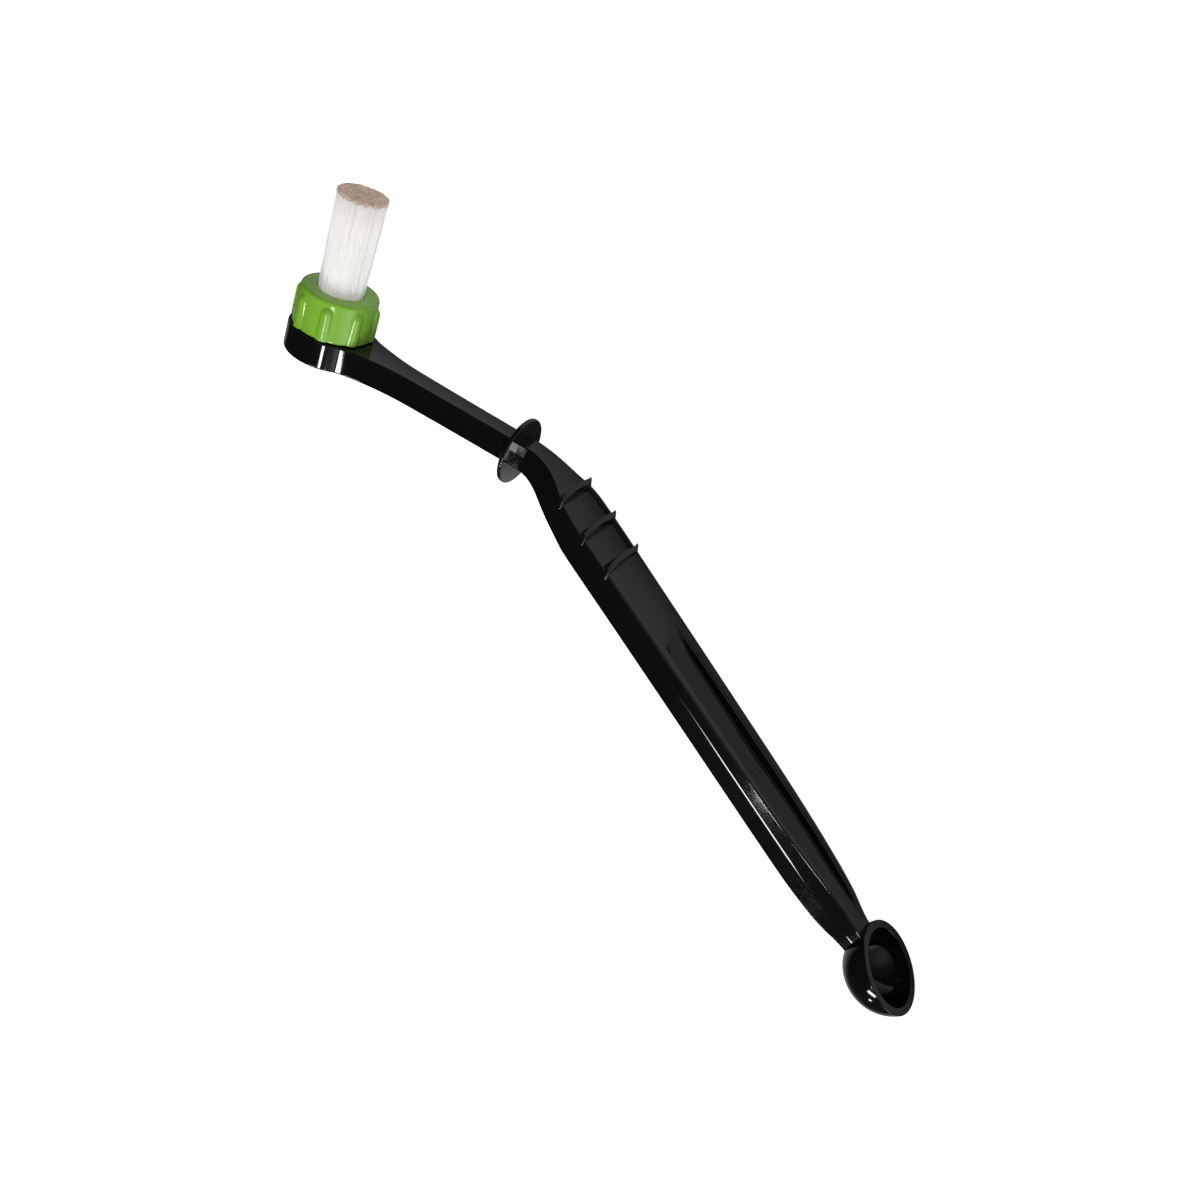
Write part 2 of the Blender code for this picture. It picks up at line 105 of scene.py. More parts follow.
# how far down the side the ridge line lies, as a share of the depth
RIDGE_P = [(0.0, 0.4), (20.0, 0.33), (70.0, 0.32), (80.0, 0.33),
           (100.0, 0.365), (110.0, 0.4), (115.0, 0.42), (125.0, 0.445),
           (144.0, 0.445)]
DIP = [(124.0, 0.0), (131.0, 0.25), (135.5, 0.75), (139.0, 1.1),
       (144.0, 1.2)]
GROOVE_W = [(49.5, 3.9), (53.0, 4.3), (58.0, 4.7), (70.0, 4.95), (95.0, 5.0),
            (113.0, 4.55), (122.0, 3.85), (129.0, 3.15), (134.0, 2.6),
            (139.0, 2.3)]
GROOVE_D = [(50.5, 0.0), (53.0, 0.75), (56.0, 2.0), (60.0, 2.6), (75.0, 2.95),
            (90.0, 3.2), (105.0, 2.9), (120.0, 2.7), (129.0, 2.1),
            (134.0, 1.2), (139.0, 0.0)]
GROOVE_SLOPE, GROOVE_LIP, GROOVE_FOOT = 0.10, 0.95, 0.35
# the groove's floor is dished: it tilts up towards both walls
DISH_1, DISH_2 = math.radians(7.0), math.radians(15.0)
# sunk panels between the ribs, with a thin rail on each side
PANEL_S, PANEL_D, PANEL_RAIL = (11.5, 31.5), 0.75, 0.85

GUARD_X, GUARD_T, GUARD_R, GUARD_Z, GUARD_EDGE = 59.55, 1.2, 8.75, -3.4, 0.42

RIB_X = (77.5, 86.25, 94.85)
RIB_T, RIB_CREST, RIB_TIP, RIB_FOOT = 1.1, 2.3, 0.85, 1.7
RIB_PROUD, RIB_LEAN, RIB_EDGE = 0.07, 0.7, 0.29
RIB_NEAR, RIB_HORN, RIB_ROUND = 0.271, 1.213, 0.5

SCOOP_S, SCOOP_P, SCOOP_TILT = 151.2, -1.26, math.radians(6.3)
SCOOP_R, SCOOP_RIN, SCOOP_FLOOR, SCOOP_EDGE = 11.7, 9.65, 9.95, 0.3

PITCH, THREAD_R, THREAD_A, THREAD_GAP = 2.0, 7.60, 0.35, 0.32
SPIGOT_H, BORE_R, BORE_Z = 7.6, 6.3, -1.3

COLLAR_Z0, COLLAR_H, COLLAR_R0, COLLAR_R1 = 0.3, 10.75, 10.35, 9.95
COLLAR_FILLET, COLLAR_RIBS, COLLAR_RIB_R = 0.95, 8, 10.95
COLLAR_RIB_TOP, COLLAR_RIB_HALF = 8.9, 1.55
COLLAR_PHASE = math.radians(-67.8)
RIB_SOFT = 1.12
COLLAR_HOLE, SHOULDER_Z, RECESS_R = 5.95, 9.6, 8.35

FLANGE_Z1 = 9.3
TUFT_PITCH, TUFT_END, TUFT_SPREAD = 2.3, 36.2, 1.19


# ------------------------------------------------------------------- helpers
def world(v):
    """World point, in metres, of a tool-frame point in millimetres."""
    return ((v[0] - BOX_MID_X) * MM, (v[2] - BOX_MID_Z) * MM,
            (REST_HALF - v[1]) * MM)


def smooth(table, s):
    """Monotone cubic curve through the points of a table."""
    n = len(table)
    if s <= table[0][0]:
        return table[0][1]
    if s >= table[-1][0]:
        return table[-1][1]
    d = [(table[i + 1][1] - table[i][1]) / (table[i + 1][0] - table[i][0])
         for i in range(n - 1)]
    m = [d[0]]
    for i in range(1, n - 1):
        if d[i - 1] * d[i] <= 0.0:
            m.append(0.0)
        else:
            h0 = table[i][0] - table[i - 1][0]
            h1 = table[i + 1][0] - table[i][0]
            w0, w1 = 2 * h1 + h0, h1 + 2 * h0
            m.append((w0 + w1) / (w0 / d[i - 1] + w1 / d[i]))
    m.append(d[-1])
    for i in range(n - 1):
        x0, x1 = table[i][0], table[i + 1][0]
        if s <= x1:
            h = x1 - x0
            t = (s - x0) / h
            return ((2 * t ** 3 - 3 * t ** 2 + 1) * table[i][1]
                    + (t ** 3 - 2 * t ** 2 + t) * h * m[i]
                    + (-2 * t ** 3 + 3 * t ** 2) * table[i + 1][1]
                    + (t ** 3 - t ** 2) * h * m[i + 1])
    return table[-1][1]


def on_handle(s, y, p):
    return (X_BEND + s * math.cos(BEND) + p * math.sin(BEND), y,
            -s * math.sin(BEND) + p * math.cos(BEND))


def rounded(corners, closed=False):
    """A path with rounded corners, of (a, b, radius, steps) corners. Gives
    (points, normals), the normal on the left of the way along. The count of
    points depends only on the steps."""
    pts, nrm = [], []
    n = len(corners)
    for i, (a, b, r, k) in enumerate(corners):
        p = Vector((a, b))
        if not closed and i in (0, n - 1):
            q = Vector(corners[1 if i == 0 else n - 2][:2])
            d = (q - p) if i == 0 else (p - q)
            d.normalize()
            pts.append(p)
            nrm.append(Vector((-d.y, d.x)))
            continue
        prev = Vector(corners[i - 1][:2])
        nxt = Vector(corners[(i + 1) % n][:2])
        u, v = prev - p, nxt - p
        lu, lv = u.length, v.length
        u.normalize()
        v.normalize()
        turn = math.acos(max(-1.0, min(1.0, -u.dot(v))))
        side = 1.0 if (-u.x * v.y + u.y * v.x) > 0 else -1.0
        share = 0.46
        t = min(r * math.tan(turn / 2) if turn > 1e-4 else 0.0,
                share * lu, share * lv)
        t = max(t, min(0.02, 0.2 * lu, 0.2 * lv))
        n0, n1 = Vector((u.y, -u.x)), Vector((-v.y, v.x))
        if turn < 0.004:
            for j in range(k + 1):
                f = j / k
                pts.append(p + u * t * (1 - f) + v * t * f)
                nrm.append((n0 * (1 - f) + n1 * f).normalized())
            continue
        rr = t / math.tan(turn / 2)
        centre = p + (u + v).normalized() * (rr / math.cos(turn / 2))
        for j in range(k + 1):
            ang = turn * j / k
            w = (n0 * math.sin(turn - ang) + n1 * math.sin(ang))
            w.normalize()
            pts.append(centre - w * rr * side)
            nrm.append(w)
    return pts, nrm


class Shape:
    """Points in the tool frame with exact normals, and faces on them."""

    def __init__(self):
        self.v, self.n, self.f = [], [], []

    def add(self, point, normal):
        self.v.append(tuple(point))
        self.n.append(tuple(normal))
        return len(self.v) - 1

    def strip(self, a, b, close=True):
        k = len(a)
        for j in range(k if close else k - 1):
            j2 = (j + 1) % k
            self.f.append((a[j], a[j2], b[j2], b[j]))

    def mesh(self, name, index=0, slots=1):
        """The mesh in metres, welded, and the normals at its points."""
        co = np.array([world(v) for v in self.v])
        nw = np.array([(n[0], n[2], -n[1]) for n in self.n], float)
        length = np.linalg.norm(nw, axis=1, keepdims=True)
        nw = nw / np.where(length < 1e-12, 1.0, length)
        key = {}
        ref = []
        keep, acc = [], []
        for i, c in enumerate(np.round(co * 1e7).astype(np.int64)):
            k = tuple(c)
            if k not in key:
                key[k] = len(keep)
                keep.append(co[i])
                acc.append(nw[i].copy())
            else:
                acc[key[k]] += nw[i]
            ref.append(key[k])
        faces = []
        for f in self.f:
            g = []
            for i in f:
                if not g or g[-1] != ref[i]:
                    g.append(ref[i])
            while len(g) > 1 and g[0] == g[-1]:
                g.pop()
            if len(set(g)) >= 3:
                faces.append(g)
        me = bpy.data.meshes.new(name)
        me.from_pydata([tuple(c) for c in keep], [], faces)
        me.update()
        bm = bmesh.new()
        bm.from_mesh(me)
        bmesh.ops.recalc_face_normals(bm, faces=bm.faces)
        if bm.calc_volume(signed=True) < 0:
            bmesh.ops.reverse_faces(bm, faces=bm.faces)
        open_edges = sum(1 for e in bm.edges if not e.is_manifold)
        bm.to_mesh(me)
        bm.free()
        for _ in range(slots):
            me.materials.append(None)
        for p in me.polygons:
            p.material_index = index
            p.use_smooth = True
        acc = np.array(acc)
        length = np.linalg.norm(acc, axis=1, keepdims=True)
        acc = acc / np.where(length < 1e-12, 1.0, length)
        # the normals look out, whichever way the grid was walked
        flat = np.zeros(len(me.vertices) * 3, np.float32)
        me.vertices.foreach_get('normal', flat)
        vn = flat.reshape(-1, 3)
        flip = (acc * vn).sum(1) < 0
        acc[flip] *= -1
        print('shape', name, len(me.vertices), 'verts', len(me.polygons),
              'faces', open_edges, 'open edges', int(flip.sum()), 'flipped')
        return me, acc


def new_object(name, me):
    ob = bpy.data.objects.new(name, me)
    scene.collection.objects.link(ob)
    return ob


# ------------------------------------------------------------- handle: shape
def half_path(w, t, gw, gd, under, ridge, rnd, low, flat=False, fold=0.42):
    """Right half of a section from top middle to bottom middle, rounded."""
    wb = w * under
    rise_1 = rise_2 = 0.0
    if gd > 0.01:
        lip = min(GROOVE_LIP, 0.55 * gd, 0.6 * (w - rnd - gw))
        foot = max(gw - 0.05 - GROOVE_SLOPE * gd, 0.3 * gw)
        if flat:
            foot = gw - 0.04
        lean = (gw - foot) / max(gd - lip, 0.2 * gd)
        crown = gw + lean * lip
        foot_r = min(GROOVE_FOOT, 0.3 * gd)
        if not flat:
            share = min(1.0, gd / 2.0)
            rise_1 = share * 0.38 * foot * math.tan(DISH_1)
            rise_2 = rise_1 + share * 0.32 * foot * math.tan(DISH_2)
    else:
        lip, foot, crown, foot_r = 0.05, 0.4 * w, 0.62 * w, 0.05
        gd = 0.0
    return rounded([
        (0.0, -gd, 0, 0), (0.30 * foot, -gd, 12.0, 3),
        (0.68 * foot, -gd + rise_1, 9.0, 3), (foot, -gd + rise_2, foot_r, 4),
        (crown, 0.0, lip, 6), (w, 0.0, rnd, 6),
        (w + ridge, -fold * t, 4.4, 6), (wb, -t, low, 6), (0.0, -t, 0, 0)])


def handle_shape():
    sh = Shape()
    rows = []
    stations = []
    steps = 42
    for k in range(steps):
        a = math.pi - (math.pi - math.acos(FLARE_X / HEAD_R)) * k / steps
        stations.append(('h', a))
    x = FLARE_X
    while x < 57.0:
        stations.append(('x', x))
        x += 0.5 if x < 26 else 1.5
    stations += [('x', 57.0)]
    stations += [('a', k / 12.0) for k in range(13)]
    s = S_ARC + 0.6
    steps_s = set()
    while s < 144.0:
        if all(abs(s - q) > 0.3 for q in PANEL_S):
            steps_s.add(s)
        fine = s < 20 or 49 < s < 60 or s > 120
        s += 0.5 if fine else 1.0
    for q in PANEL_S:
        steps_s |= {q - 0.25, q - 0.04, q + 0.04, q + 0.25}
    stations += [('s', q) for q in sorted(steps_s)]
    stations.append(('s', 144.0))
    for kind, v in stations:
        gw = gd = dip = ridge = 0.0
        nx, ny = 0.0, 1.0
        if kind in 'hx':
            if kind == 'h':
                x, w = HEAD_R * math.cos(v), HEAD_R * math.sin(v)
                nx, ny = math.cos(v), math.sin(v)
                if x < 0:
                    x *= 11.089 / 11.15
                under = 1.0
            else:
                x, w = v, smooth(NECK_W, v)
                e = 0.05
                if v - FLARE_X < 0.6:
                    slope = -FLARE_X / 7.555
                    s1 = (smooth(NECK_W, v + e) - smooth(NECK_W, v)) / e
                    f = (v - FLARE_X) / 0.6
                    slope = slope * (1 - f) + s1 * f
                else:
                    slope = (smooth(NECK_W, v + e)
                             - smooth(NECK_W, v - e)) / (2 * e)
                nx, ny = -slope, 1.0
                d = math.hypot(nx, ny)
                nx, ny = nx / d, ny / d
                under = 1.0 - 0.05 * min(1.0, (v - FLARE_X) / 20.0)
            t = smooth(NECK_T, x)
            place, ang = (x, 0.0), 0.0
            rnd, low = 0.45, 0.6
        else:
            if kind == 'a':
                ang = BEND * v
                place = (X_ARC + R_BEND * math.sin(ang),
                         -R_BEND * (1 - math.cos(ang)))
                s = S_ARC * (2 * v - 1)
            else:
                s, ang = v, BEND
                q = on_handle(s, 0.0, 0.0)
                place = (q[0], q[2])
            w, t = smooth(GRIP_W, s), smooth(GRIP_T, s)
            dip, under = smooth(DIP, s), smooth(GRIP_UNDER, s)
            ridge = 0.16 * min(1.0, max(0.0, (s - 4) / 14.0))
            if s > 128.0:
                ridge *= max(0.0, (141.0 - s) / 13.0)
            gd = smooth(GROOVE_D, s)
            gw = smooth(GROOVE_W, s)
            flat = kind == 's' and PANEL_S[0] < s < PANEL_S[1]
            if flat:
                gd, gw = PANEL_D, w - PANEL_RAIL
            rnd, low = 0.5, 0.9
        ux, uz = math.cos(ang), -math.sin(ang)
        px, pz = math.sin(ang), math.cos(ang)
        if kind in 'hx':
            # the section is walked at a nominal width, then its points are
            # set in from the outline along the outline's own normal
            nominal = 8.0
            pts, nrm = half_path(nominal, t, 0, 0, 1.0, 0.0, rnd, low)
            ring = []
            for (y, p), (na, nb) in zip(pts, nrm):
                inset = nominal - y
                if inset <= max(rnd, low) + 1e-6:
                    shift = under + (1 - under) * (1 + p / t)
                    yy = w * shift
                    q = (x - nx * inset, yy - ny * inset)
                    if q[1] < 0:
                        q = (x - nx * w / max(ny, 1e-6), 0.0) \
                            if ny > 0.05 else (q[0], 0.0)
                    outer = q
                    ring.append([q[0], q[1], p, nx * na, ny * na, nb])
                else:
                    ring.append([None, y, p, 0.0, 0.0, nb])
            first = next(r for r in ring if r[0] is not None)
            last = [r for r in ring if r[0] is not None][-1]
            for i, r in enumerate(ring):
                if r[0] is None:
                    top = i < len(ring) // 2
                    src = first if top else last
                    inner = nominal - (rnd if top else low)
                    r[1] = src[1] * min(1.0, r[1] / inner)
                    r[0] = src[0]
            half = ring
            right = [((r[0], r[1], r[2]), (r[3], r[4], r[5])) for r in half]
            left = [((r[0], -r[1], r[2]), (r[3], -r[4], r[5]))
                    for r in half[1:-1]][::-1]
        else:
            pts, nrm = half_path(w, t - dip, gw, gd, under, ridge, rnd, low,
                                 flat, smooth(RIDGE_P, s))

            def put(y, p, ny_, np_):
                return ((place[0] + (p - dip) * px, y,
                         place[1] + (p - dip) * pz),
                        (np_ * px, ny_, np_ * pz))
            far, far_n = half_path(w, t - dip, gw, gd, under, ridge, 0.25,
                                   low, flat, smooth(RIDGE_P, s))
            right = [put(y, p, a, b) for (y, p), (a, b) in zip(far, far_n)]
            left = [put(-y, p, -a, b)
                    for (y, p), (a, b) in zip(pts[1:-1], nrm[1:-1])][::-1]
        rows.append(([q[0] for q in right + left],
                     [q[1] for q in right + left]))
    # tilt the section normals by the slope along the handle
    n = len(rows[0][0])
    P = np.array([r[0] for r in rows])
    N = np.array([r[1] for r in rows])
    L = np.zeros_like(P)
    L[1:-1] = P[2:] - P[:-2]
    L[0], L[-1] = P[1] - P[0], P[-1] - P[-2]
    ll = np.linalg.norm(L, axis=2, keepdims=True)
    L = L / np.where(ll < 1e-9, 1.0, ll)
    heads = sum(1 for k, _ in stations if k == 'h')
    T = N - (N * L).sum(2, keepdims=True) * L
    T[:heads + 1] = N[:heads + 1]
    tl = np.linalg.norm(T, axis=2, keepdims=True)
    T = T / np.where(tl < 1e-9, 1.0, tl)
    ids = []
    for r in range(len(rows)):
        ids.append([sh.add(P[r][j], T[r][j]) for j in range(n)])
    for a, b in zip(ids, ids[1:]):
        sh.strip(a, b)
    # end cap, inside the bowl's wall
    end = [sh.add(P[-1][j], (math.cos(BEND), 0, -math.sin(BEND)))
           for j in range(n)]
    sh.f.append(tuple(end))
    return sh


def pillow(outline, normals, thick, edge, place, tilt, steps=5):
    """A plate with a rounded rim: outline points with their outward normals
    in (a, b), thickness along the first axis. place maps (x, a, b) to the
    tool frame, and tilt maps a normal. edge gives, for a point's number,
    the rounding at the first face and at the second."""
    sh = Shape()
    ring_ids = []
    turns = [math.pi / 2 * k / steps for k in range(steps + 1)]
    both = [(0, g) for g in turns[::-1]] + [(1, g) for g in turns]
    # from the first flat face out to the rim, and in to the second face
    for side, g in both:
        row = []
        for j, ((a, b), (na, nb)) in enumerate(zip(outline, normals)):
            e = edge(j)[side]
            x = e * (1 - math.sin(g))
            inset = e * (1 - math.cos(g))
            x, nx = (thick - x, math.sin(g)) if side else (x, -math.sin(g))
            row.append(sh.add(place((x, a - na * inset, b - nb * inset)),
                              tilt((nx, na * math.cos(g),
                                    nb * math.cos(g)))))
        ring_ids.append(row)
    for r0, r1 in zip(ring_ids, ring_ids[1:]):
        sh.strip(r0, r1)
    sh.f.append(tuple(ring_ids[0][::-1]))
    sh.f.append(tuple(ring_ids[-1]))
    return sh


def guard_shape():
    n = 128
    ol, nr = [], []
    for j in range(n):
        a = 2 * math.pi * j / n
        ol.append((GUARD_R * math.cos(a), GUARD_R * math.sin(a)))
        nr.append((math.cos(a), math.sin(a)))
    return pillow(ol, nr, GUARD_T, lambda j: (GUARD_EDGE, GUARD_EDGE),
                  lambda v: (GUARD_X + v[0], v[1], GUARD_Z + v[2]),
                  lambda v: v, steps=7)


def rib_shape(x0):
    """A grip rib: its near end is a half round that stands proud, and its
    far end rises to a pointed corner on the neck's side."""
    xm = x0 + RIB_T / 2
    s = (xm - X_BEND) / math.cos(BEND)
    far = smooth(GRIP_W, s + RIB_LEAN) + RIB_PROUD
    near = smooth(GRIP_W, s + RIB_LEAN) + RIB_NEAR
    corners = [(-near, -RIB_FOOT, 0.6, 4), (-near, RIB_TIP, 0.6, 6)]
    m = 28
    for k in range(1, m):
        y = -near + (near + far) * k / m
        if y < 1.4 - near:
            continue
        hw, tip = (far, RIB_HORN) if y > 0 else (near, RIB_TIP)
        p = tip + (RIB_CREST - tip) * (1 - abs(y / hw) ** 2.2)
        corners.append((y, p, 0.05, 1))
    corners += [(far, RIB_HORN, 0.12, 6), (far, -RIB_FOOT, 0.34, 4)]
    pts, nrm = rounded(corners, closed=True)
    # walked clockwise seen from the far side, so the left is outward
    outline = [(p.x, p.y) for p in pts]
    normals = [(q.x, q.y) for q in nrm]
    cb, tb = math.cos(BEND), math.tan(BEND)

    def edge(j):
        e = smooth([(-near, RIB_ROUND), (0.6 - near, RIB_ROUND),
                    (2.6 - near, RIB_EDGE), (far - 2.0, RIB_EDGE),
                    (far - 0.15, 0.11)], outline[j][0])
        return e, e

    def place(v):
        # towards its far end the top thins and leans to the neck's side
        f = max(0.0, v[1] / far) ** 6 * max(0.0, min(1.0, v[2] / RIB_HORN))
        x = x0 + v[0] * (1 - 0.6 * f) - 0.4 * f
        return (x, v[1], v[2] / cb - (x - X_BEND) * tb)

    def tilt(v):
        # inverse transpose of the shear
        return (v[0] + v[2] * tb * cb, v[1], v[2] * cb)
    return pillow(outline, normals, RIB_T, edge, place, tilt)


SCOOP_C = Vector(on_handle(SCOOP_S, 0.0, SCOOP_P))
SCOOP_ANG = BEND + SCOOP_TILT
SCOOP_N = Vector((math.sin(SCOOP_ANG), 0.0, math.cos(SCOOP_ANG)))
SCOOP_U = Vector((math.cos(SCOOP_ANG), 0.0, -math.sin(SCOOP_ANG)))


def scoop_point(v):
    q = SCOOP_C + SCOOP_U * v[0] + Vector((0, 1, 0)) * v[1] + SCOOP_N * v[2]
    return (q.x, q.y, q.z)


def scoop_vector(v):
    q = SCOOP_U * v[0] + Vector((0, 1, 0)) * v[1] + SCOOP_N * v[2]
    return (q.x, q.y, q.z)


def turned(path, normals, n, point=lambda v: v, vector=lambda v: v):
    """A solid of revolution from (radius, height) points with normals."""
    sh = Shape()
    rows = []
    for (r, z), (nr, nz) in zip(path, normals):
        row = []
        for j in range(n):
            a = 2 * math.pi * j / n
            c, s = math.cos(a), math.sin(a)
            row.append(sh.add(point((r * c, r * s, z)),
                              vector((nr * c, nr * s, nz))))
        rows.append(row)
    for a, b in zip(rows, rows[1:]):
        sh.strip(a, b)
    return sh


def bowl_shape(n=144):
    """The bowl as a shell with a rounded rim, pole to pole."""
    path, nrm = [], []
    k = 36
    for i in range(k):
        a = math.radians(-90 + 87.5 * i / (k - 1))
        path.append((SCOOP_R * math.cos(a), SCOOP_R * math.sin(a)))
        nrm.append((math.cos(a), math.sin(a)))
    e = SCOOP_EDGE
    for i in range(6):                     # outer rim edge
        a = math.radians(90 * i / 5)
        path.append((SCOOP_R - e + e * math.cos(a), -e + e * math.sin(a)))
        nrm.append((math.cos(a), math.sin(a)))
    for i in range(6):                     # inner rim edge
        a = math.radians(90 + 90 * i / 5)
        path.append((SCOOP_RIN + e + e * math.cos(a), -e + e * math.sin(a)))
        nrm.append((math.cos(a), math.sin(a)))
    drop = SCOOP_FLOOR - SCOOP_RIN
    for i in range(k):
        a = math.radians(-90 * i / (k - 1))
        if i == 0:
            a = math.radians(-1.0)
        path.append((SCOOP_RIN * math.cos(a),
                     -drop + SCOOP_RIN * math.sin(a)))
        nrm.append((-math.cos(a), -math.sin(a)))
    path[0] = (0.0, path[0][1])
    path[-1] = (0.0, path[-1][1])
    return turned(path, nrm, n, scoop_point, scoop_vector)


def ball_cut(n=64):
    """What the handle's end loses: the space inside the middle of the wall."""
    r = 0.5 * (SCOOP_R + SCOOP_RIN)
    path = [(r * math.cos(math.radians(a)), r * math.sin(math.radians(a)))
            for a in range(-90, 1, 6)]
    path[0] = (0.0, -r)
    path += [(r, 6.0), (0.0, 6.0)]
    return turned(path, [(0, 1)] * len(path), n, scoop_point, scoop_vector)


def thread(theta, z):
    u = (z / PITCH - theta / (2 * math.pi)) % 1.0
    tri = 4 * abs(u - 0.5) - 1.0
    return THREAD_A * max(-1.0, min(1.0, 1.15 * tri))


def fade(z, z0, z1, run):
    return max(0.0, min(1.0, (z - z0) / run, (z1 - z) / run))


def grid_normals(sh, rows):
    """Normals of a closed-round grid from its own shape."""
    P = np.array([[sh.v[i] for i in row] for row in rows])
    du = np.roll(P, -1, 1) - np.roll(P, 1, 1)
    dv = np.zeros_like(P)
    dv[1:-1] = P[2:] - P[:-2]
    dv[0], dv[-1] = P[1] - P[0], P[-1] - P[-2]
    N = np.cross(du, dv)
    for r, row in enumerate(rows):
        for j, i in enumerate(row):
            sh.n[i] = tuple(N[r][j])


def spigot_shape(n=96):
    sh = Shape()
    z0, z1 = 0.35, SPIGOT_H - 0.2
    levels = [-1.0, 0.1]
    k = int(round((z1 - z0) / 0.16))
    levels += [z0 + (z1 - z0) * i / k for i in range(k + 1)]
    rows = []
    for z in levels:
        row = []
        for j in range(n):
            th = 2 * math.pi * j / n
            f = fade(z, z0, z1, 0.6)
            r = THREAD_R + (thread(th, z) * f - THREAD_A * (1 - f))
            row.append(sh.add((r * math.cos(th), r * math.sin(th), z),
                              (math.cos(th), math.sin(th), 0)))
        rows.append(row)
    for r, z in ((THREAD_R - THREAD_A - 0.03, SPIGOT_H - 0.06),
                 (THREAD_R - THREAD_A - 0.14, SPIGOT_H)):
        rows.append([sh.add((r * math.cos(2 * math.pi * j / n),
                             r * math.sin(2 * math.pi * j / n), z),
                            (0, 0, 1)) for j in range(n)])
    for a, b in zip(rows, rows[1:]):
        sh.strip(a, b)
    grid_normals(sh, rows)
    for end, flip, nz in ((rows[0], True, -1), (rows[-1], False, 1)):
        cap = [sh.add(sh.v[i], (0, 0, nz)) for i in end]
        sh.f.append(tuple(cap[::-1] if flip else cap))
    return sh


def bore_cut(n=96):
    path = [(0.0, BORE_Z), (BORE_R, BORE_Z), (BORE_R, SPIGOT_H + 2),
            (0.0, SPIGOT_H + 2)]
    return turned(path, [(1, 0)] * 4, n)


class Source:
    """A tree over a solid's surface that gives its exact normal."""

    def __init__(self, me, normals):
        me.calc_loop_triangles()
        self.co = [Vector(v.co) for v in me.vertices]
        self.n = normals
        self.tris = [tuple(t.vertices) for t in me.loop_triangles]
        self.tree = BVHTree.FromPolygons(self.co, self.tris)

    def normal(self, point, face_normal):
        loc, _, i, _ = self.tree.find_nearest(point)
        a, b, c = self.tris[i]
        va, vb, vc = self.co[a], self.co[b], self.co[c]
        v0, v1, v2 = vb - va, vc - va, loc - va
        d00, d01, d11 = v0.dot(v0), v0.dot(v1), v1.dot(v1)
        d20, d21 = v2.dot(v0), v2.dot(v1)
        den = d00 * d11 - d01 * d01
        if abs(den) < 1e-22:
            return face_normal
        v = (d11 * d20 - d01 * d21) / den
        w = (d00 * d21 - d01 * d20) / den
        u = 1 - v - w
        n = self.n[a] * u + self.n[b] * v + self.n[c] * w
        n = Vector((float(n[0]), float(n[1]), float(n[2])))
        if n.length < 1e-6:
            return face_normal
        n.normalize()
        if n.dot(face_normal) < 0:
            n = -n
        # never let a normal leave its face by much
        return n if n.dot(face_normal) > 0.5 else face_normal


def build_handle():
    # exact normals are kept for what shows; cutters keep the face's own
    solids = [('body', handle_shape(), 'BASE', True),
              ('spigot', spigot_shape(), 'UNION', True),
              ('guard', guard_shape(), 'UNION', True)]
    for i, x0 in enumerate(RIB_X):
        solids.append(('rib_%d' % (i + 1), rib_shape(x0), 'UNION', True))
    solids += [('ball', ball_cut(), 'DIFFERENCE', False),
               ('bowl', bowl_shape(), 'UNION', True),
               ('bore', bore_cut(), 'DIFFERENCE', False)]
    slots = len(solids)
    sources, temps = {}, []
    base = None
    for i, (name, sh, op, exact) in enumerate(solids):
        me, normals = sh.mesh('make_' + name, i, slots)
        if exact:
            sources[i] = Source(me, normals)
        ob = new_object('make_' + name, me)
        temps.append(ob)
        if op == 'BASE':
            base = ob
        else:
            md = base.modifiers.new(name, 'BOOLEAN')
            md.operation = op
            md.solver = 'EXACT'
            md.object = ob
    bpy.context.view_layer.update()
    deps = bpy.context.evaluated_depsgraph_get()
    me = bpy.data.meshes.new_from_object(base.evaluated_get(deps))
    me.name = 'handle_moulding'
    bm = bmesh.new()
    bm.from_mesh(me)
    # a sliver left open where two solids meet is closed
    bmesh.ops.holes_fill(bm, edges=[e for e in bm.edges if e.is_boundary],
                         sides=8)
    bad = sum(1 for e in bm.edges if not e.is_manifold)
    print('handle', len(me.vertices), 'verts', len(me.polygons), 'faces',
          bad, 'open edges, volume', round(bm.calc_volume() * 1e9, 1))
    bm.to_mesh(me)
    bm.free()
    custom = [None] * len(me.loops)
    for p in me.polygons:
        src = sources.get(p.material_index)
        for li in p.loop_indices:
            co = me.vertices[me.loops[li].vertex_index].co
            if src is None:
                custom[li] = p.normal.copy()
            else:
                custom[li] = src.normal(co.lerp(p.center, 0.01), p.normal)
        p.use_smooth = True
    index = [0] * len(me.polygons)
    me.polygons.foreach_set('material_index', index)
    me.materials.clear()
    lo, hi = cad_box
    for v in me.vertices:
        for k in range(3):
            v.co[k] = min(max(v.co[k], lo[k]), hi[k])
    me.update()
    me.normals_split_custom_set([tuple(n) for n in custom])
    for ob in temps:
        bpy.data.objects.remove(ob, do_unlink=True)
    return new_object('handle_moulding', me)


# --------------------------------------------------------------------- collar
def rib_height(dtheta, z, r_body):
    """How far a grip rib stands beyond the collar's body, with a soft foot."""
    d = abs(dtheta) * COLLAR_RIB_R
    top = COLLAR_RIB_TOP - COLLAR_RIB_HALF
    e = math.hypot(d, max(0.0, z - top)) / COLLAR_RIB_HALF
    full = COLLAR_RIB_R - r_body
    if e >= RIB_SOFT:
        return 0.0
    return full * (1.0 - (e / RIB_SOFT) ** 2) ** 1.0


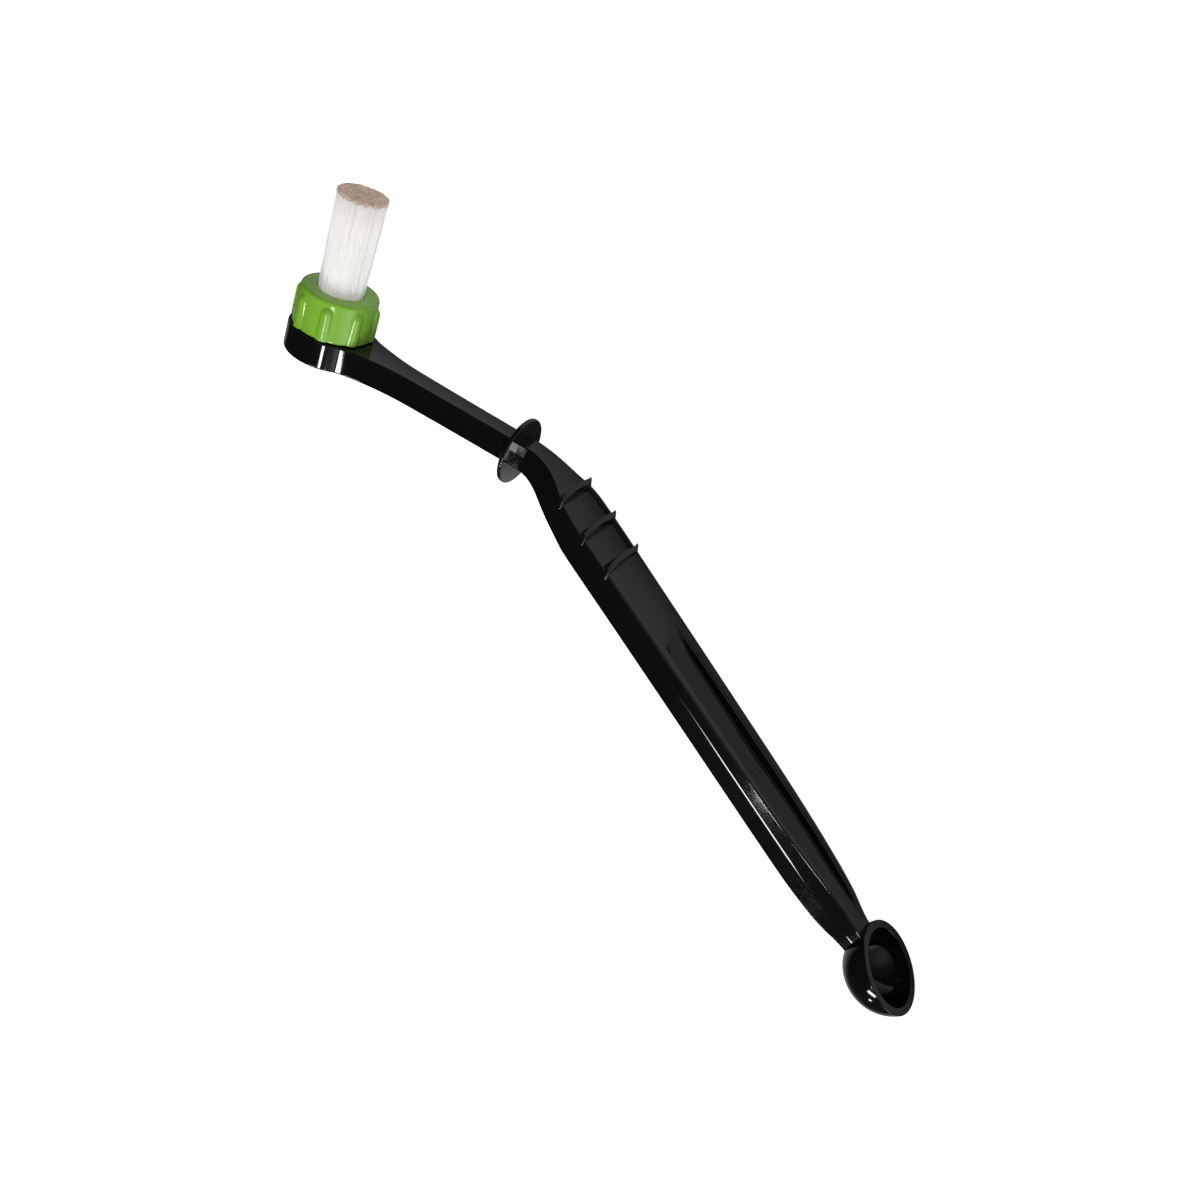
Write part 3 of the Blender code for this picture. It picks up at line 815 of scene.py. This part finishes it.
def collar_shape(n=8 * 44):
    sh = Shape()
    rows = []
    step = 2 * math.pi / COLLAR_RIBS
    # angles crowd at the flanks of each rib
    offs = []
    half = RIB_SOFT * COLLAR_RIB_HALF / COLLAR_RIB_R
    m = 13
    for k in range(-m, m + 1):
        offs.append(half * math.sin(math.pi / 2 * k / m))
    rest = 8
    for k in range(1, rest):
        offs.append(half + (step - 2 * half) * k / rest)
    angles = []
    for r in range(COLLAR_RIBS):
        for o in offs:
            angles.append((COLLAR_PHASE + r * step + o, o
                           if o <= half + 1e-9 else o - step
                           if o > step / 2 else o))

    def ring(fn):
        rows.append([sh.add(*fn(th, d)) for th, d in angles])

    def outside(z, pull=0.0):
        def fn(th, d):
            f = (z - COLLAR_Z0) / (COLLAR_H - COLLAR_FILLET - COLLAR_Z0)
            body = COLLAR_R0 + (COLLAR_R1 - COLLAR_R0) * f
            r = body + rib_height(d, z, body) - pull
            return ((r * math.cos(th), r * math.sin(th), z),
                    (math.cos(th), math.sin(th), 0))
        return fn

    def plain(r, z):
        return lambda th, d: ((r * math.cos(th), r * math.sin(th), z),
                              (math.cos(th), math.sin(th), 0))

    e = 0.22
    for k in range(5):                       # soft lower edge
        a = math.pi / 2 * k / 4
        ring(outside(COLLAR_Z0 + e * (1 - math.cos(a)),
                     e * (1 - math.sin(a))))
    zs = [0.9, 1.6, 2.4, 3.2, 4.0, 4.8, 5.6, 6.4, 7.0, 7.35]
    top = COLLAR_RIB_TOP - COLLAR_RIB_HALF
    zs += [top + RIB_SOFT * COLLAR_RIB_HALF * math.sin(math.pi / 2 * k / 12)
           for k in range(1, 13)]
    zs += [9.5, COLLAR_H - COLLAR_FILLET]
    for z in zs:
        ring(outside(z))
    cx, cz = COLLAR_R1 - COLLAR_FILLET, COLLAR_H - COLLAR_FILLET
    for k in range(1, 9):
        a = math.radians(90 * k / 8)
        ring(plain(cx + COLLAR_FILLET * math.cos(a),
                   cz + COLLAR_FILLET * math.sin(a)))
    ring(plain(COLLAR_HOLE + 1.2, COLLAR_H))
    for k in range(6):
        a = math.radians(90 * k / 5)
        ring(plain(COLLAR_HOLE + 0.3 - 0.3 * math.sin(a),
                   COLLAR_H - 0.3 + 0.3 * math.cos(a)))
    ring(plain(COLLAR_HOLE, SHOULDER_Z))
    ring(plain(RECESS_R, SHOULDER_Z))
    ring(plain(RECESS_R, SPIGOT_H + 0.3))
    z0, z1 = 0.35, SPIGOT_H - 0.2
    k = int(round((z1 - z0) / 0.2))
    for i in range(k, -1, -1):
        z = z0 + (z1 - z0) * i / k
        rows.append([sh.add(((THREAD_R + THREAD_GAP + thread(th, z))
                             * math.cos(th),
                             (THREAD_R + THREAD_GAP + thread(th, z))
                             * math.sin(th), z), (0, 0, 1))
                     for th, d in angles])
    ring(plain(THREAD_R + THREAD_GAP + THREAD_A + 0.15, COLLAR_Z0))
    for a, b in zip(rows, rows[1:] + rows[:1]):
        sh.strip(a, b)
    return sh


def build_collar():
    me, _ = collar_shape().mesh('collar_green')
    me.materials.clear()
    me.shade_smooth()
    me.set_sharp_from_angle(angle=math.radians(38))
    return new_object('collar_green', me)


# --------------------------------------------------------------------- tufts
def tuft_sites():
    sites = [(0.0, 0.0)]
    for k in range(6):
        a = math.radians(60 * k)
        sites.append((TUFT_PITCH * math.cos(a), TUFT_PITCH * math.sin(a)))
    for k in range(12):
        a = math.radians(15 + 30 * k)
        sites.append((4.5 * math.cos(a), 4.5 * math.sin(a)))
    return sites


def build_tufts(total):
    """Filaments for all nineteen tufts, from one seeded spread of tips."""
    rng = random.Random(41)
    sites = tuft_sites()
    tips = []
    golden = math.pi * (3 - math.sqrt(5))
    r_tip = 6.28
    for i in range(total):
        r = r_tip * math.sqrt((i + 0.5) / total)
        a = i * golden
        x = r * math.cos(a) + rng.gauss(0, 0.07)
        y = r * math.sin(a) + rng.gauss(0, 0.07)
        tips.append((x, y))
    groups = [[] for _ in sites]
    for x, y in tips:
        k = min(range(len(sites)),
                key=lambda j: (sites[j][0] * TUFT_SPREAD - x) ** 2
                + (sites[j][1] * TUFT_SPREAD - y) ** 2)
        groups[k].append((x, y))
    sides = 6
    out = []
    for k, group in enumerate(groups):
        sx, sy = sites[k]
        verts, faces = [], []
        for x, y in group:
            dx = x - sx * TUFT_SPREAD
            dy = y - sy * TUFT_SPREAD
            d = math.hypot(dx, dy)
            q = min(1.0, 0.72 / max(d * 0.62, 1e-6))
            bx, by = sx + dx * 0.62 * q, sy + dy * 0.62 * q
            rad = 0.13 + rng.uniform(-0.012, 0.012)
            edge = math.hypot(x, y) / r_tip
            end = TUFT_END - abs(rng.gauss(0, 0.22)) - 0.2 * edge ** 5
            if rng.random() < 0.12:
                end -= rng.uniform(0.2, 1.1)
            wave = rng.gauss(0, 0.035)
            wave_a = rng.uniform(0, 2 * math.pi)
            lean = rng.gauss(0, 0.08)
            # each level: height, share of the way out from the root, and
            # how wide the whole bundle is there against its tips
            levels = [(8.3, 0.0, 1.0), (9.35, 0.0, 1.0), (10.0, 0.60, 0.90),
                      (10.9, 0.90, 0.905), (13.0, 0.97, 0.925),
                      (20.0, 1.0, 0.955), (28.5, 1.0, 0.985), (end, 1.0, 1.0)]
            rows = []
            for zi, (z, f, wide) in enumerate(levels):
                g = (z - 9.3) / (TUFT_END - 9.3)
                px = bx + (x * wide - bx) * f
                py = by + (y * wide - by) * f
                if zi >= 4:
                    w = wave * math.sin(math.pi * g * 1.7)
                    px += w * math.cos(wave_a) + lean * g * math.cos(wave_a)
                    py += w * math.sin(wave_a) + lean * g * math.sin(wave_a)
                h = math.hypot(px, py)
                cap = 6.45 if z > 30 else 6.2 if z > 18 else \
                    5.76 if z < 11 else 6.0
                if h > cap:
                    px, py = px * cap / h, py * cap / h
                row = []
                tip = zi == len(levels) - 1
                if tip:
                    for j in range(sides):
                        a = 2 * math.pi * j / sides
                        verts.append((px + rad * math.cos(a),
                                      py + rad * math.sin(a), z - 0.05))
                        row.append(len(verts) - 1)
                    rows.append(row)
                    row = []
                    for j in range(sides):
                        a = 2 * math.pi * j / sides
                        verts.append((px + 0.6 * rad * math.cos(a),
                                      py + 0.6 * rad * math.sin(a), z))
                        row.append(len(verts) - 1)
                else:
                    for j in range(sides):
                        a = 2 * math.pi * j / sides
                        verts.append((px + rad * math.cos(a),
                                      py + rad * math.sin(a), z))
                        row.append(len(verts) - 1)
                rows.append(row)
            for a, b in zip(rows, rows[1:]):
                for j in range(sides):
                    j2 = (j + 1) % sides
                    faces.append((a[j], a[j2], b[j2], b[j]))
            faces.append(tuple(rows[0][::-1]))
            faces.append(tuple(rows[-1]))
        me = bpy.data.meshes.new('bristles_%02d' % (k + 1))
        me.from_pydata([world(v) for v in verts], [], faces)
        me.update()
        bm = bmesh.new()
        bm.from_mesh(me)
        bmesh.ops.recalc_face_normals(bm, faces=bm.faces)
        bm.to_mesh(me)
        bm.free()
        me.shade_smooth()
        me.set_sharp_from_angle(angle=math.radians(50))
        out.append(new_object('bristles_%02d' % (k + 1), me))
    return out


# ----------------------------------------------------------------- materials
def tree(name):
    m = bpy.data.materials.new(name)
    m.use_nodes = True
    nt = m.node_tree
    nt.nodes.clear()
    out = nt.nodes.new('ShaderNodeOutputMaterial')
    sh = nt.nodes.new('ShaderNodeBsdfPrincipled')
    nt.links.new(sh.outputs['BSDF'], out.inputs['Surface'])
    return m, nt, sh


def node(nt, kind, **values):
    nd = nt.nodes.new(kind)
    for k, v in values.items():
        if k in nd.inputs:
            nd.inputs[k].default_value = v
        else:
            setattr(nd, k, v)
    return nd


def noise(nt, co, scale, detail=3.0, rough=0.5, stretch=None):
    nd = nt.nodes.new('ShaderNodeTexNoise')
    nd.inputs['Scale'].default_value = scale
    nd.inputs['Detail'].default_value = detail
    nd.inputs['Roughness'].default_value = rough
    src = co.outputs['Object']
    if stretch:
        mp = nt.nodes.new('ShaderNodeMapping')
        mp.inputs['Scale'].default_value = stretch
        nt.links.new(src, mp.inputs['Vector'])
        src = mp.outputs['Vector']
    nt.links.new(src, nd.inputs['Vector'])
    return nd


def ramp(nt, fac, stops):
    nd = nt.nodes.new('ShaderNodeValToRGB')
    cr = nd.color_ramp
    while len(cr.elements) < len(stops):
        cr.elements.new(0.5)
    for e, (pos, col) in zip(cr.elements, stops):
        e.position = pos
        e.color = (*col, 1.0)
    nt.links.new(fac, nd.inputs['Fac'])
    return nd


def remap(nt, val, a, b, c, d):
    nd = nt.nodes.new('ShaderNodeMapRange')
    nd.inputs['From Min'].default_value = a
    nd.inputs['From Max'].default_value = b
    nd.inputs['To Min'].default_value = c
    nd.inputs['To Max'].default_value = d
    nt.links.new(val, nd.inputs['Value'])
    return nd


def bump(nt, height, strength, distance, after=None):
    nd = nt.nodes.new('ShaderNodeBump')
    nd.inputs['Strength'].default_value = strength
    nd.inputs['Distance'].default_value = distance
    nt.links.new(height, nd.inputs['Height'])
    if after:
        nt.links.new(after.outputs['Normal'], nd.inputs['Normal'])
    return nd


def gloss_black():
    m, nt, sh = tree('gloss_black_plastic')
    co = nt.nodes.new('ShaderNodeTexCoord')
    cloud = noise(nt, co, 60.0, 4.0, 0.6)
    tint = ramp(nt, cloud.outputs['Fac'],
                [(0.3, (0.0016, 0.0018, 0.0022)),
                 (0.7, (0.0032, 0.0032, 0.0036))])
    nt.links.new(tint.outputs['Color'], sh.inputs['Base Color'])
    rub = noise(nt, co, 240.0, 5.0, 0.65)
    rough = remap(nt, rub.outputs['Fac'], 0.3, 0.75, 0.06, 0.085)
    nt.links.new(rough.outputs['Result'], sh.inputs['Roughness'])
    peel = noise(nt, co, 420.0, 2.0, 0.5)
    fine = noise(nt, co, 5200.0, 2.0, 0.5)
    b1 = bump(nt, peel.outputs['Fac'], 0.012, 0.00003)
    b2 = bump(nt, fine.outputs['Fac'], 0.02, 0.000004, b1)
    nt.links.new(b2.outputs['Normal'], sh.inputs['Normal'])
    sh.inputs['IOR'].default_value = 1.47
    return m


def green_plastic():
    m, nt, sh = tree('green_plastic')
    co = nt.nodes.new('ShaderNodeTexCoord')
    cloud = noise(nt, co, 90.0, 4.0, 0.6)
    tint = ramp(nt, cloud.outputs['Fac'],
                [(0.3, (0.187, 0.418, 0.031)), (0.7, (0.217, 0.462, 0.041))])
    nt.links.new(tint.outputs['Color'], sh.inputs['Base Color'])
    rub = noise(nt, co, 700.0, 4.0, 0.6)
    rough = remap(nt, rub.outputs['Fac'], 0.3, 0.7, 0.15, 0.20)
    nt.links.new(rough.outputs['Result'], sh.inputs['Roughness'])
    grain = noise(nt, co, 3600.0, 3.0, 0.6)
    b1 = bump(nt, grain.outputs['Fac'], 0.05, 0.00001)
    nt.links.new(b1.outputs['Normal'], sh.inputs['Normal'])
    sh.inputs['Subsurface Weight'].default_value = 0.12
    sh.inputs['Subsurface Radius'].default_value = (0.4, 1.0, 0.1)
    sh.inputs['Subsurface Scale'].default_value = 0.0006
    return m


def nylon():
    """White filaments: streaks along them, coffee-stained tips, and a faint painted glow
    of their own colour.
    """
    m, nt, sh = tree('white_nylon')
    co = nt.nodes.new('ShaderNodeTexCoord')
    streak = noise(nt, co, 1.0, 2.0, 0.5, (2600.0, 18.0, 2600.0))
    broad = noise(nt, co, 1.0, 2.0, 0.5, (420.0, 12.0, 420.0))
    mix = node(nt, 'ShaderNodeMath', operation='ADD')
    nt.links.new(streak.outputs['Fac'], mix.inputs[0])
    nt.links.new(broad.outputs['Fac'], mix.inputs[1])
    body = ramp(nt, remap(nt, mix.outputs['Value'], 0.7, 1.3, 0, 1)
                .outputs['Result'],
                [(0.0, (0.76, 0.73, 0.72)), (0.45, (0.89, 0.88, 0.865)),
                 (1.0, (0.94, 0.935, 0.92))])
    sep = nt.nodes.new('ShaderNodeSeparateXYZ')
    nt.links.new(co.outputs['Object'], sep.inputs['Vector'])
    jag = noise(nt, co, 1.0, 3.0, 0.6, (900.0, 300.0, 900.0))
    lift = node(nt, 'ShaderNodeMath', operation='MULTIPLY')
    lift.inputs[1].default_value = 0.0024
    nt.links.new(jag.outputs['Fac'], lift.inputs[0])
    add = node(nt, 'ShaderNodeMath', operation='ADD')
    nt.links.new(sep.outputs['Y'], add.inputs[0])
    nt.links.new(lift.outputs['Value'], add.inputs[1])
    tip = (TUFT_END - BOX_MID_Z) * MM
    stain = remap(nt, add.outputs['Value'], tip - 0.0003, tip + 0.0002,
                  0.0, 1.0)
    stain.interpolation_type = 'SMOOTHSTEP'
    brown = ramp(nt, jag.outputs['Fac'],
                 [(0.3, (0.48, 0.36, 0.28)), (0.7, (0.82, 0.67, 0.56))])
    # a faint warm tinge in the upper part of the filaments
    upper = remap(nt, sep.outputs['Y'], tip - 0.012, tip, 0.0, 0.18)
    warm = nt.nodes.new('ShaderNodeMix')
    warm.data_type = 'RGBA'
    nt.links.new(upper.outputs['Result'], warm.inputs['Factor'])
    nt.links.new(body.outputs['Color'], warm.inputs['A'])
    warm.inputs['B'].default_value = (0.95, 0.80, 0.74, 1.0)
    blend = nt.nodes.new('ShaderNodeMix')
    blend.data_type = 'RGBA'
    # every cut end near the top is stained too
    geo = nt.nodes.new('ShaderNodeNewGeometry')
    way = nt.nodes.new('ShaderNodeSeparateXYZ')
    nt.links.new(geo.outputs['Normal'], way.inputs['Vector'])
    cut = remap(nt, way.outputs['Y'], 0.45, 0.8, 0.0, 1.0)
    both = node(nt, 'ShaderNodeMath', operation='MAXIMUM')
    nt.links.new(stain.outputs['Result'], both.inputs[0])
    nt.links.new(cut.outputs['Result'], both.inputs[1])
    nt.links.new(both.outputs['Value'], blend.inputs['Factor'])
    nt.links.new(warm.outputs['Result'], blend.inputs['A'])
    nt.links.new(brown.outputs['Color'], blend.inputs['B'])
    nt.links.new(blend.outputs['Result'], sh.inputs['Base Color'])
    rough = remap(nt, streak.outputs['Fac'], 0.3, 0.7, 0.32, 0.5)
    nt.links.new(rough.outputs['Result'], sh.inputs['Roughness'])
    fine = bump(nt, streak.outputs['Fac'], 0.2, 0.00002)
    nt.links.new(fine.outputs['Normal'], sh.inputs['Normal'])
    sh.inputs['Subsurface Weight'].default_value = 0.35
    sh.inputs['Subsurface Radius'].default_value = (1.0, 0.95, 0.9)
    sh.inputs['Subsurface Scale'].default_value = 0.0012
    # painted glow: the filaments emit a little of their own colour, standing in for the
    # light that the clear filaments carry between them
    nt.links.new(blend.outputs['Result'], sh.inputs['Emission Color'])
    sh.inputs['Emission Strength'].default_value = 0.1
    return m


def insert_plastic():
    m, nt, sh = tree('insert_plastic')
    co = nt.nodes.new('ShaderNodeTexCoord')
    cloud = noise(nt, co, 300.0, 4.0, 0.6)
    tint = ramp(nt, cloud.outputs['Fac'],
                [(0.3, (0.56, 0.56, 0.52)), (0.7, (0.68, 0.68, 0.64))])
    nt.links.new(tint.outputs['Color'], sh.inputs['Base Color'])
    grain = noise(nt, co, 3000.0, 3.0, 0.6)
    rough = remap(nt, grain.outputs['Fac'], 0.3, 0.7, 0.35, 0.5)
    nt.links.new(rough.outputs['Result'], sh.inputs['Roughness'])
    b1 = bump(nt, grain.outputs['Fac'], 0.2, 0.00003)
    nt.links.new(b1.outputs['Normal'], sh.inputs['Normal'])
    return m


def wire_metal():
    m, nt, sh = tree('anchor_wire')
    co = nt.nodes.new('ShaderNodeTexCoord')
    drawn = noise(nt, co, 1.0, 3.0, 0.6, (400.0, 6000.0, 400.0))
    tint = ramp(nt, drawn.outputs['Fac'],
                [(0.3, (0.60, 0.57, 0.52)), (0.7, (0.78, 0.76, 0.72))])
    nt.links.new(tint.outputs['Color'], sh.inputs['Base Color'])
    rough = remap(nt, drawn.outputs['Fac'], 0.3, 0.7, 0.22, 0.4)
    nt.links.new(rough.outputs['Result'], sh.inputs['Roughness'])
    b1 = bump(nt, drawn.outputs['Fac'], 0.2, 0.00001)
    nt.links.new(b1.outputs['Normal'], sh.inputs['Normal'])
    sh.inputs['Metallic'].default_value = 1.0
    return m


def give(ob, material):
    if ob.data.materials:
        for i in range(len(ob.data.materials)):
            ob.data.materials[i] = material
    else:
        ob.data.materials.append(material)


# -------------------------------------------------------------------- pieces
black, green, white = gloss_black(), green_plastic(), nylon()
insert, wire = insert_plastic(), wire_metal()

handle = build_handle()
give(handle, black)
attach(handle, 'handle')
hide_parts('handle')

collar = build_collar()
give(collar, green)
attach(collar, 'collar')
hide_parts('collar_nut')

for i, tuft in enumerate(build_tufts(2050)):
    give(tuft, white)
    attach(tuft, 'brush')
    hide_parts('bristle_tuft_%02d' % (i + 1))

for name, ob in frame['nodes'].items():
    if name == 'bristle_holder':
        give(ob, insert)
    elif name.startswith('tuft_anchor'):
        give(ob, wire)
    elif name.startswith('bristle_tuft'):
        give(ob, white)
    elif name == 'handle':
        give(ob, black)
    elif name == 'collar_nut':
        give(ob, green)


# --------------------------------------------------------- floor and backdrop
def floor_material():
    m, nt, sh = tree('pale_floor')
    co = nt.nodes.new('ShaderNodeTexCoord')
    cloud = noise(nt, co, 3.0, 2.0, 0.5)
    tint = ramp(nt, cloud.outputs['Fac'],
                [(0.3, (0.86, 0.86, 0.86)), (0.7, (0.88, 0.88, 0.88))])
    nt.links.new(tint.outputs['Color'], sh.inputs['Base Color'])
    sh.inputs['Roughness'].default_value = 0.9
    sh.inputs['Specular IOR Level'].default_value = 0.0
    sh.inputs['Emission Color'].default_value = (1, 1, 1, 1)
    sh.inputs['Emission Strength'].default_value = 1.0
    return m


def painted_floor_light_material():
    """Painted light: the glow the floor would send back, painted on a sheet.
    It is nearly nothing right along the tool's middle line, a painted
    contact shadow, strong a little to each side of the tool and falling
    away from it, and stronger at the head's end."""
    m = bpy.data.materials.new('floor_painted_light')
    m.use_nodes = True
    nt = m.node_tree
    nt.nodes.clear()
    out = nt.nodes.new('ShaderNodeOutputMaterial')
    em = nt.nodes.new('ShaderNodeEmission')
    nt.links.new(em.outputs['Emission'], out.inputs['Surface'])
    co = nt.nodes.new('ShaderNodeTexCoord')
    sep = nt.nodes.new('ShaderNodeSeparateXYZ')
    nt.links.new(co.outputs['Object'], sep.inputs['Vector'])

    def math_node(op, a, b=None):
        nd = node(nt, 'ShaderNodeMath', operation=op)
        for k, v in enumerate((a, b)):
            if v is None:
                continue
            if isinstance(v, float):
                nd.inputs[k].default_value = v
            else:
                nt.links.new(v, nd.inputs[k])
        return nd.outputs['Value']

    # signed distance from the tool's middle line, which bends once
    neck = math_node('SUBTRACT', sep.outputs['Y'], 0.022)
    grip = math_node('ADD', math_node('MULTIPLY', neck, math.cos(BEND)),
                     math_node('MULTIPLY', math_node(
                         'ADD', sep.outputs['X'], 0.035), math.sin(BEND)))
    across = math_node('MAXIMUM', neck, grip)
    scaled = remap(nt, across, -0.1, 0.2, 0.0, 1.0)
    # painted contact shadow: the glow is nearly nothing right along the tool, rising to
    # brighter pools about one to five centimetres to each side
    levels = [(-100, 0.06), (-60, 0.24), (-35, 0.40), (-12, 0.58),
              (-6, 0.24), (-2, 0.03), (3, 0.04), (8, 0.16), (12, 0.29),
              (18, 0.40), (27, 0.50), (45, 0.54), (70, 0.36), (105, 0.13),
              (200, 0.04)]
    side = ramp(nt, scaled.outputs['Result'],
                [((d + 100) / 300.0, (v,) * 3) for d, v in levels])
    # painted falloff of the glow towards and past the tool's ends, strongest beside the
    # head
    ends = remap(nt, sep.outputs['X'], -0.3, 0.3, 0.0, 1.0)
    stops = [(-300, 0.05), (-190, 0.22), (-155, 0.45), (-125, 0.66),
             (-112, 1.0), (-95, 1.3), (-45, 1.3), (-20, 1.12), (85, 1.12),
             (110, 0.8), (160, 0.5), (300, 0.1)]
    painted_end_falloff = ramp(nt, ends.outputs['Result'],
                [((d + 300) / 600.0, (v,) * 3) for d, v in stops])
    total = math_node('MULTIPLY', side.outputs['Color'],
                      painted_end_falloff.outputs['Color'])
    nt.links.new(total, em.inputs['Strength'])
    return m


def sheet(name, z):
    me = bpy.data.meshes.new(name)
    me.from_pydata([(-4, -4, z), (4, -4, z), (4, 4, z), (-4, 4, z)], [],
                   [(0, 1, 2, 3)])
    return new_object(name, me)


floor = sheet('floor', -0.0004)
give(floor, floor_material())
for flag in ('visible_diffuse', 'visible_glossy', 'visible_transmission',
             'visible_volume_scatter'):
    setattr(floor, flag, False)

# painted light: a sheet hidden from the camera whose glow paints the floor's shadow and
# bounced light into the tool's reflections and shading
painted_floor_light_sheet = sheet('floor_painted_light', -0.0002)
give(painted_floor_light_sheet, painted_floor_light_material())
painted_floor_light_sheet.visible_camera = False

bm = bmesh.new()
bmesh.ops.create_uvsphere(bm, u_segments=48, v_segments=24, radius=6.0)
bmesh.ops.reverse_faces(bm, faces=bm.faces)
me = bpy.data.meshes.new('backdrop')
bm.to_mesh(me)
bm.free()
me.shade_smooth()
backdrop = new_object('backdrop', me)
m, nt, sh = tree('pale_backdrop')
sh.inputs['Base Color'].default_value = (0, 0, 0, 1)
sh.inputs['Specular IOR Level'].default_value = 0.0
sh.inputs['Emission Color'].default_value = (1, 1, 1, 1)
sh.inputs['Emission Strength'].default_value = 1.0
give(backdrop, m)
for flag in ('visible_diffuse', 'visible_glossy', 'visible_transmission',
             'visible_volume_scatter', 'visible_shadow'):
    setattr(backdrop, flag, False)

# --------------------------------------------------------------------- light
world_ = bpy.data.worlds.new('studio')
scene.world = world_
world_.use_nodes = True
bg = world_.node_tree.nodes['Background']


def soft_sky(base, lobes):
    """A dim even sky with wide soft lobes, each of (azimuth, elevation,
    half width, half height, peak), angles in degrees."""
    nt = world_.node_tree
    co = nt.nodes.new('ShaderNodeTexCoord')

    def math_node(op, a, b=None):
        nd = node(nt, 'ShaderNodeMath', operation=op)
        for k, v in enumerate((a, b)):
            if v is None:
                continue
            if isinstance(v, float):
                nd.inputs[k].default_value = v
            else:
                nt.links.new(v, nd.inputs[k])
        return nd.outputs['Value']

    def dot(axis):
        nd = nt.nodes.new('ShaderNodeVectorMath')
        nd.operation = 'DOT_PRODUCT'
        nd.inputs[1].default_value = axis
        nt.links.new(co.outputs['Generated'], nd.inputs[0])
        return nd.outputs['Value']

    total = None
    for az, el, wide, high, peak in lobes:
        a, e = math.radians(az), math.radians(el)
        d = Vector((math.cos(e) * math.cos(a), math.cos(e) * math.sin(a),
                    math.sin(e)))
        side = Vector((-math.sin(a), math.cos(a), 0.0))
        up = d.cross(side)
        u = math_node('DIVIDE', dot(side), math.sin(math.radians(wide)))
        v = math_node('DIVIDE', dot(up), math.sin(math.radians(high)))
        e2 = math_node('ADD', math_node('MULTIPLY', u, u),
                       math_node('MULTIPLY', v, v))
        front = math_node('MAXIMUM', dot(d), 0.0)
        bell = math_node('POWER', 2.0, math_node('MULTIPLY', e2, -2.0))
        lobe = math_node('MULTIPLY', math_node('MULTIPLY', bell, front), peak)
        total = lobe if total is None else math_node('ADD', total, lobe)
    nt.links.new(math_node('ADD', total, base), bg.inputs['Strength'])


bg.inputs['Color'].default_value = (1, 1, 1, 1)
soft_sky(0.034, [(36.0, 54.0, 34.0, 34.0, 0.36),
                 (30.0, 30.0, 60.0, 60.0, 0.14),
                 (-26.8, 13.5, 22.0, 22.0, 2.8)])


def panel(name, turn, tilt, wide, high, luminance, roll=0.0,
          target=(0.0, 0.0, 0.01), distance=2.5, mirrored=True):
    """A rectangular light. Its direction from the target is a turn about
    the world's Y axis from +X towards +Z and a tilt towards +Y, and it
    covers the angles wide, around the turn, and high; all in degrees."""
    a, e = math.radians(turn), math.radians(tilt)
    c, y = math.cos(e), math.sin(e)
    d = Vector((math.cos(a) * c, y, math.sin(a) * c))
    bx = Vector((math.sin(a), 0.0, -math.cos(a)))
    by = Vector((-math.cos(a) * y, c, -math.sin(a) * y))
    data = bpy.data.lights.new(name, 'AREA')
    data.shape = 'RECTANGLE'
    data.size = 2 * distance * math.tan(math.radians(wide / 2))
    data.size_y = 2 * distance * math.tan(math.radians(high / 2))
    data.energy = luminance * math.pi * data.size * data.size_y
    ob = bpy.data.objects.new(name, data)
    scene.collection.objects.link(ob)
    q = Matrix((bx, by, d)).transposed()
    q = q @ Matrix.Rotation(math.radians(roll), 3, 'Z')
    mat = q.to_4x4()
    mat.translation = Vector(target) + d * distance
    ob.matrix_world = mat
    ob.visible_camera = False
    ob.visible_glossy = mirrored
    return ob


HEAD = (-0.0987, 0.022, 0.015)
panel('strip', 67.0, -22.5, 5.0, 10.5, 40.0, target=HEAD)
panel('key', 92.5, -46.0, 15.5, 7.5, 24.0, target=(0.0, -0.015, 0.018))
panel('fill', 127.0, 32.0, 14.0, 14.0, 10.0, target=HEAD,
      mirrored=False)
panel('front', 70.0, 20.0, 24.0, 24.0, 4.1, target=HEAD, mirrored=False)
panel('spark', 67.0, -31.5, 7.0, 7.0, 60.0, target=(-0.012, -0.004, 0.02),
      distance=0.25)
panel('low', 88.0, -66.5, 4.0, 4.6, 20.0, target=(0.09, -0.05, 0.012))

# -------------------------------------------------------------------- camera
cam_data = bpy.data.cameras.new('camera')
cam_data.sensor_width = 36.0
cam_data.lens = 38.892
cam_data.clip_start = 0.01
cam_data.clip_end = 50.0
cam = bpy.data.objects.new('camera', cam_data)
scene.collection.objects.link(cam)
m4 = Matrix(((0.82516621, -0.5039707, 0.25517496, 0.0771476),
             (0.31921503, 0.7886942, 0.52541719, 0.1665526),
             (-0.46604988, -0.35210083, 0.81167882, 0.2729458),
             (0.0, 0.0, 0.0, 1.0)))
cam.matrix_world = m4
scene.camera = cam

scene.view_settings.view_transform = 'Standard'

bpy.context.view_layer.update()
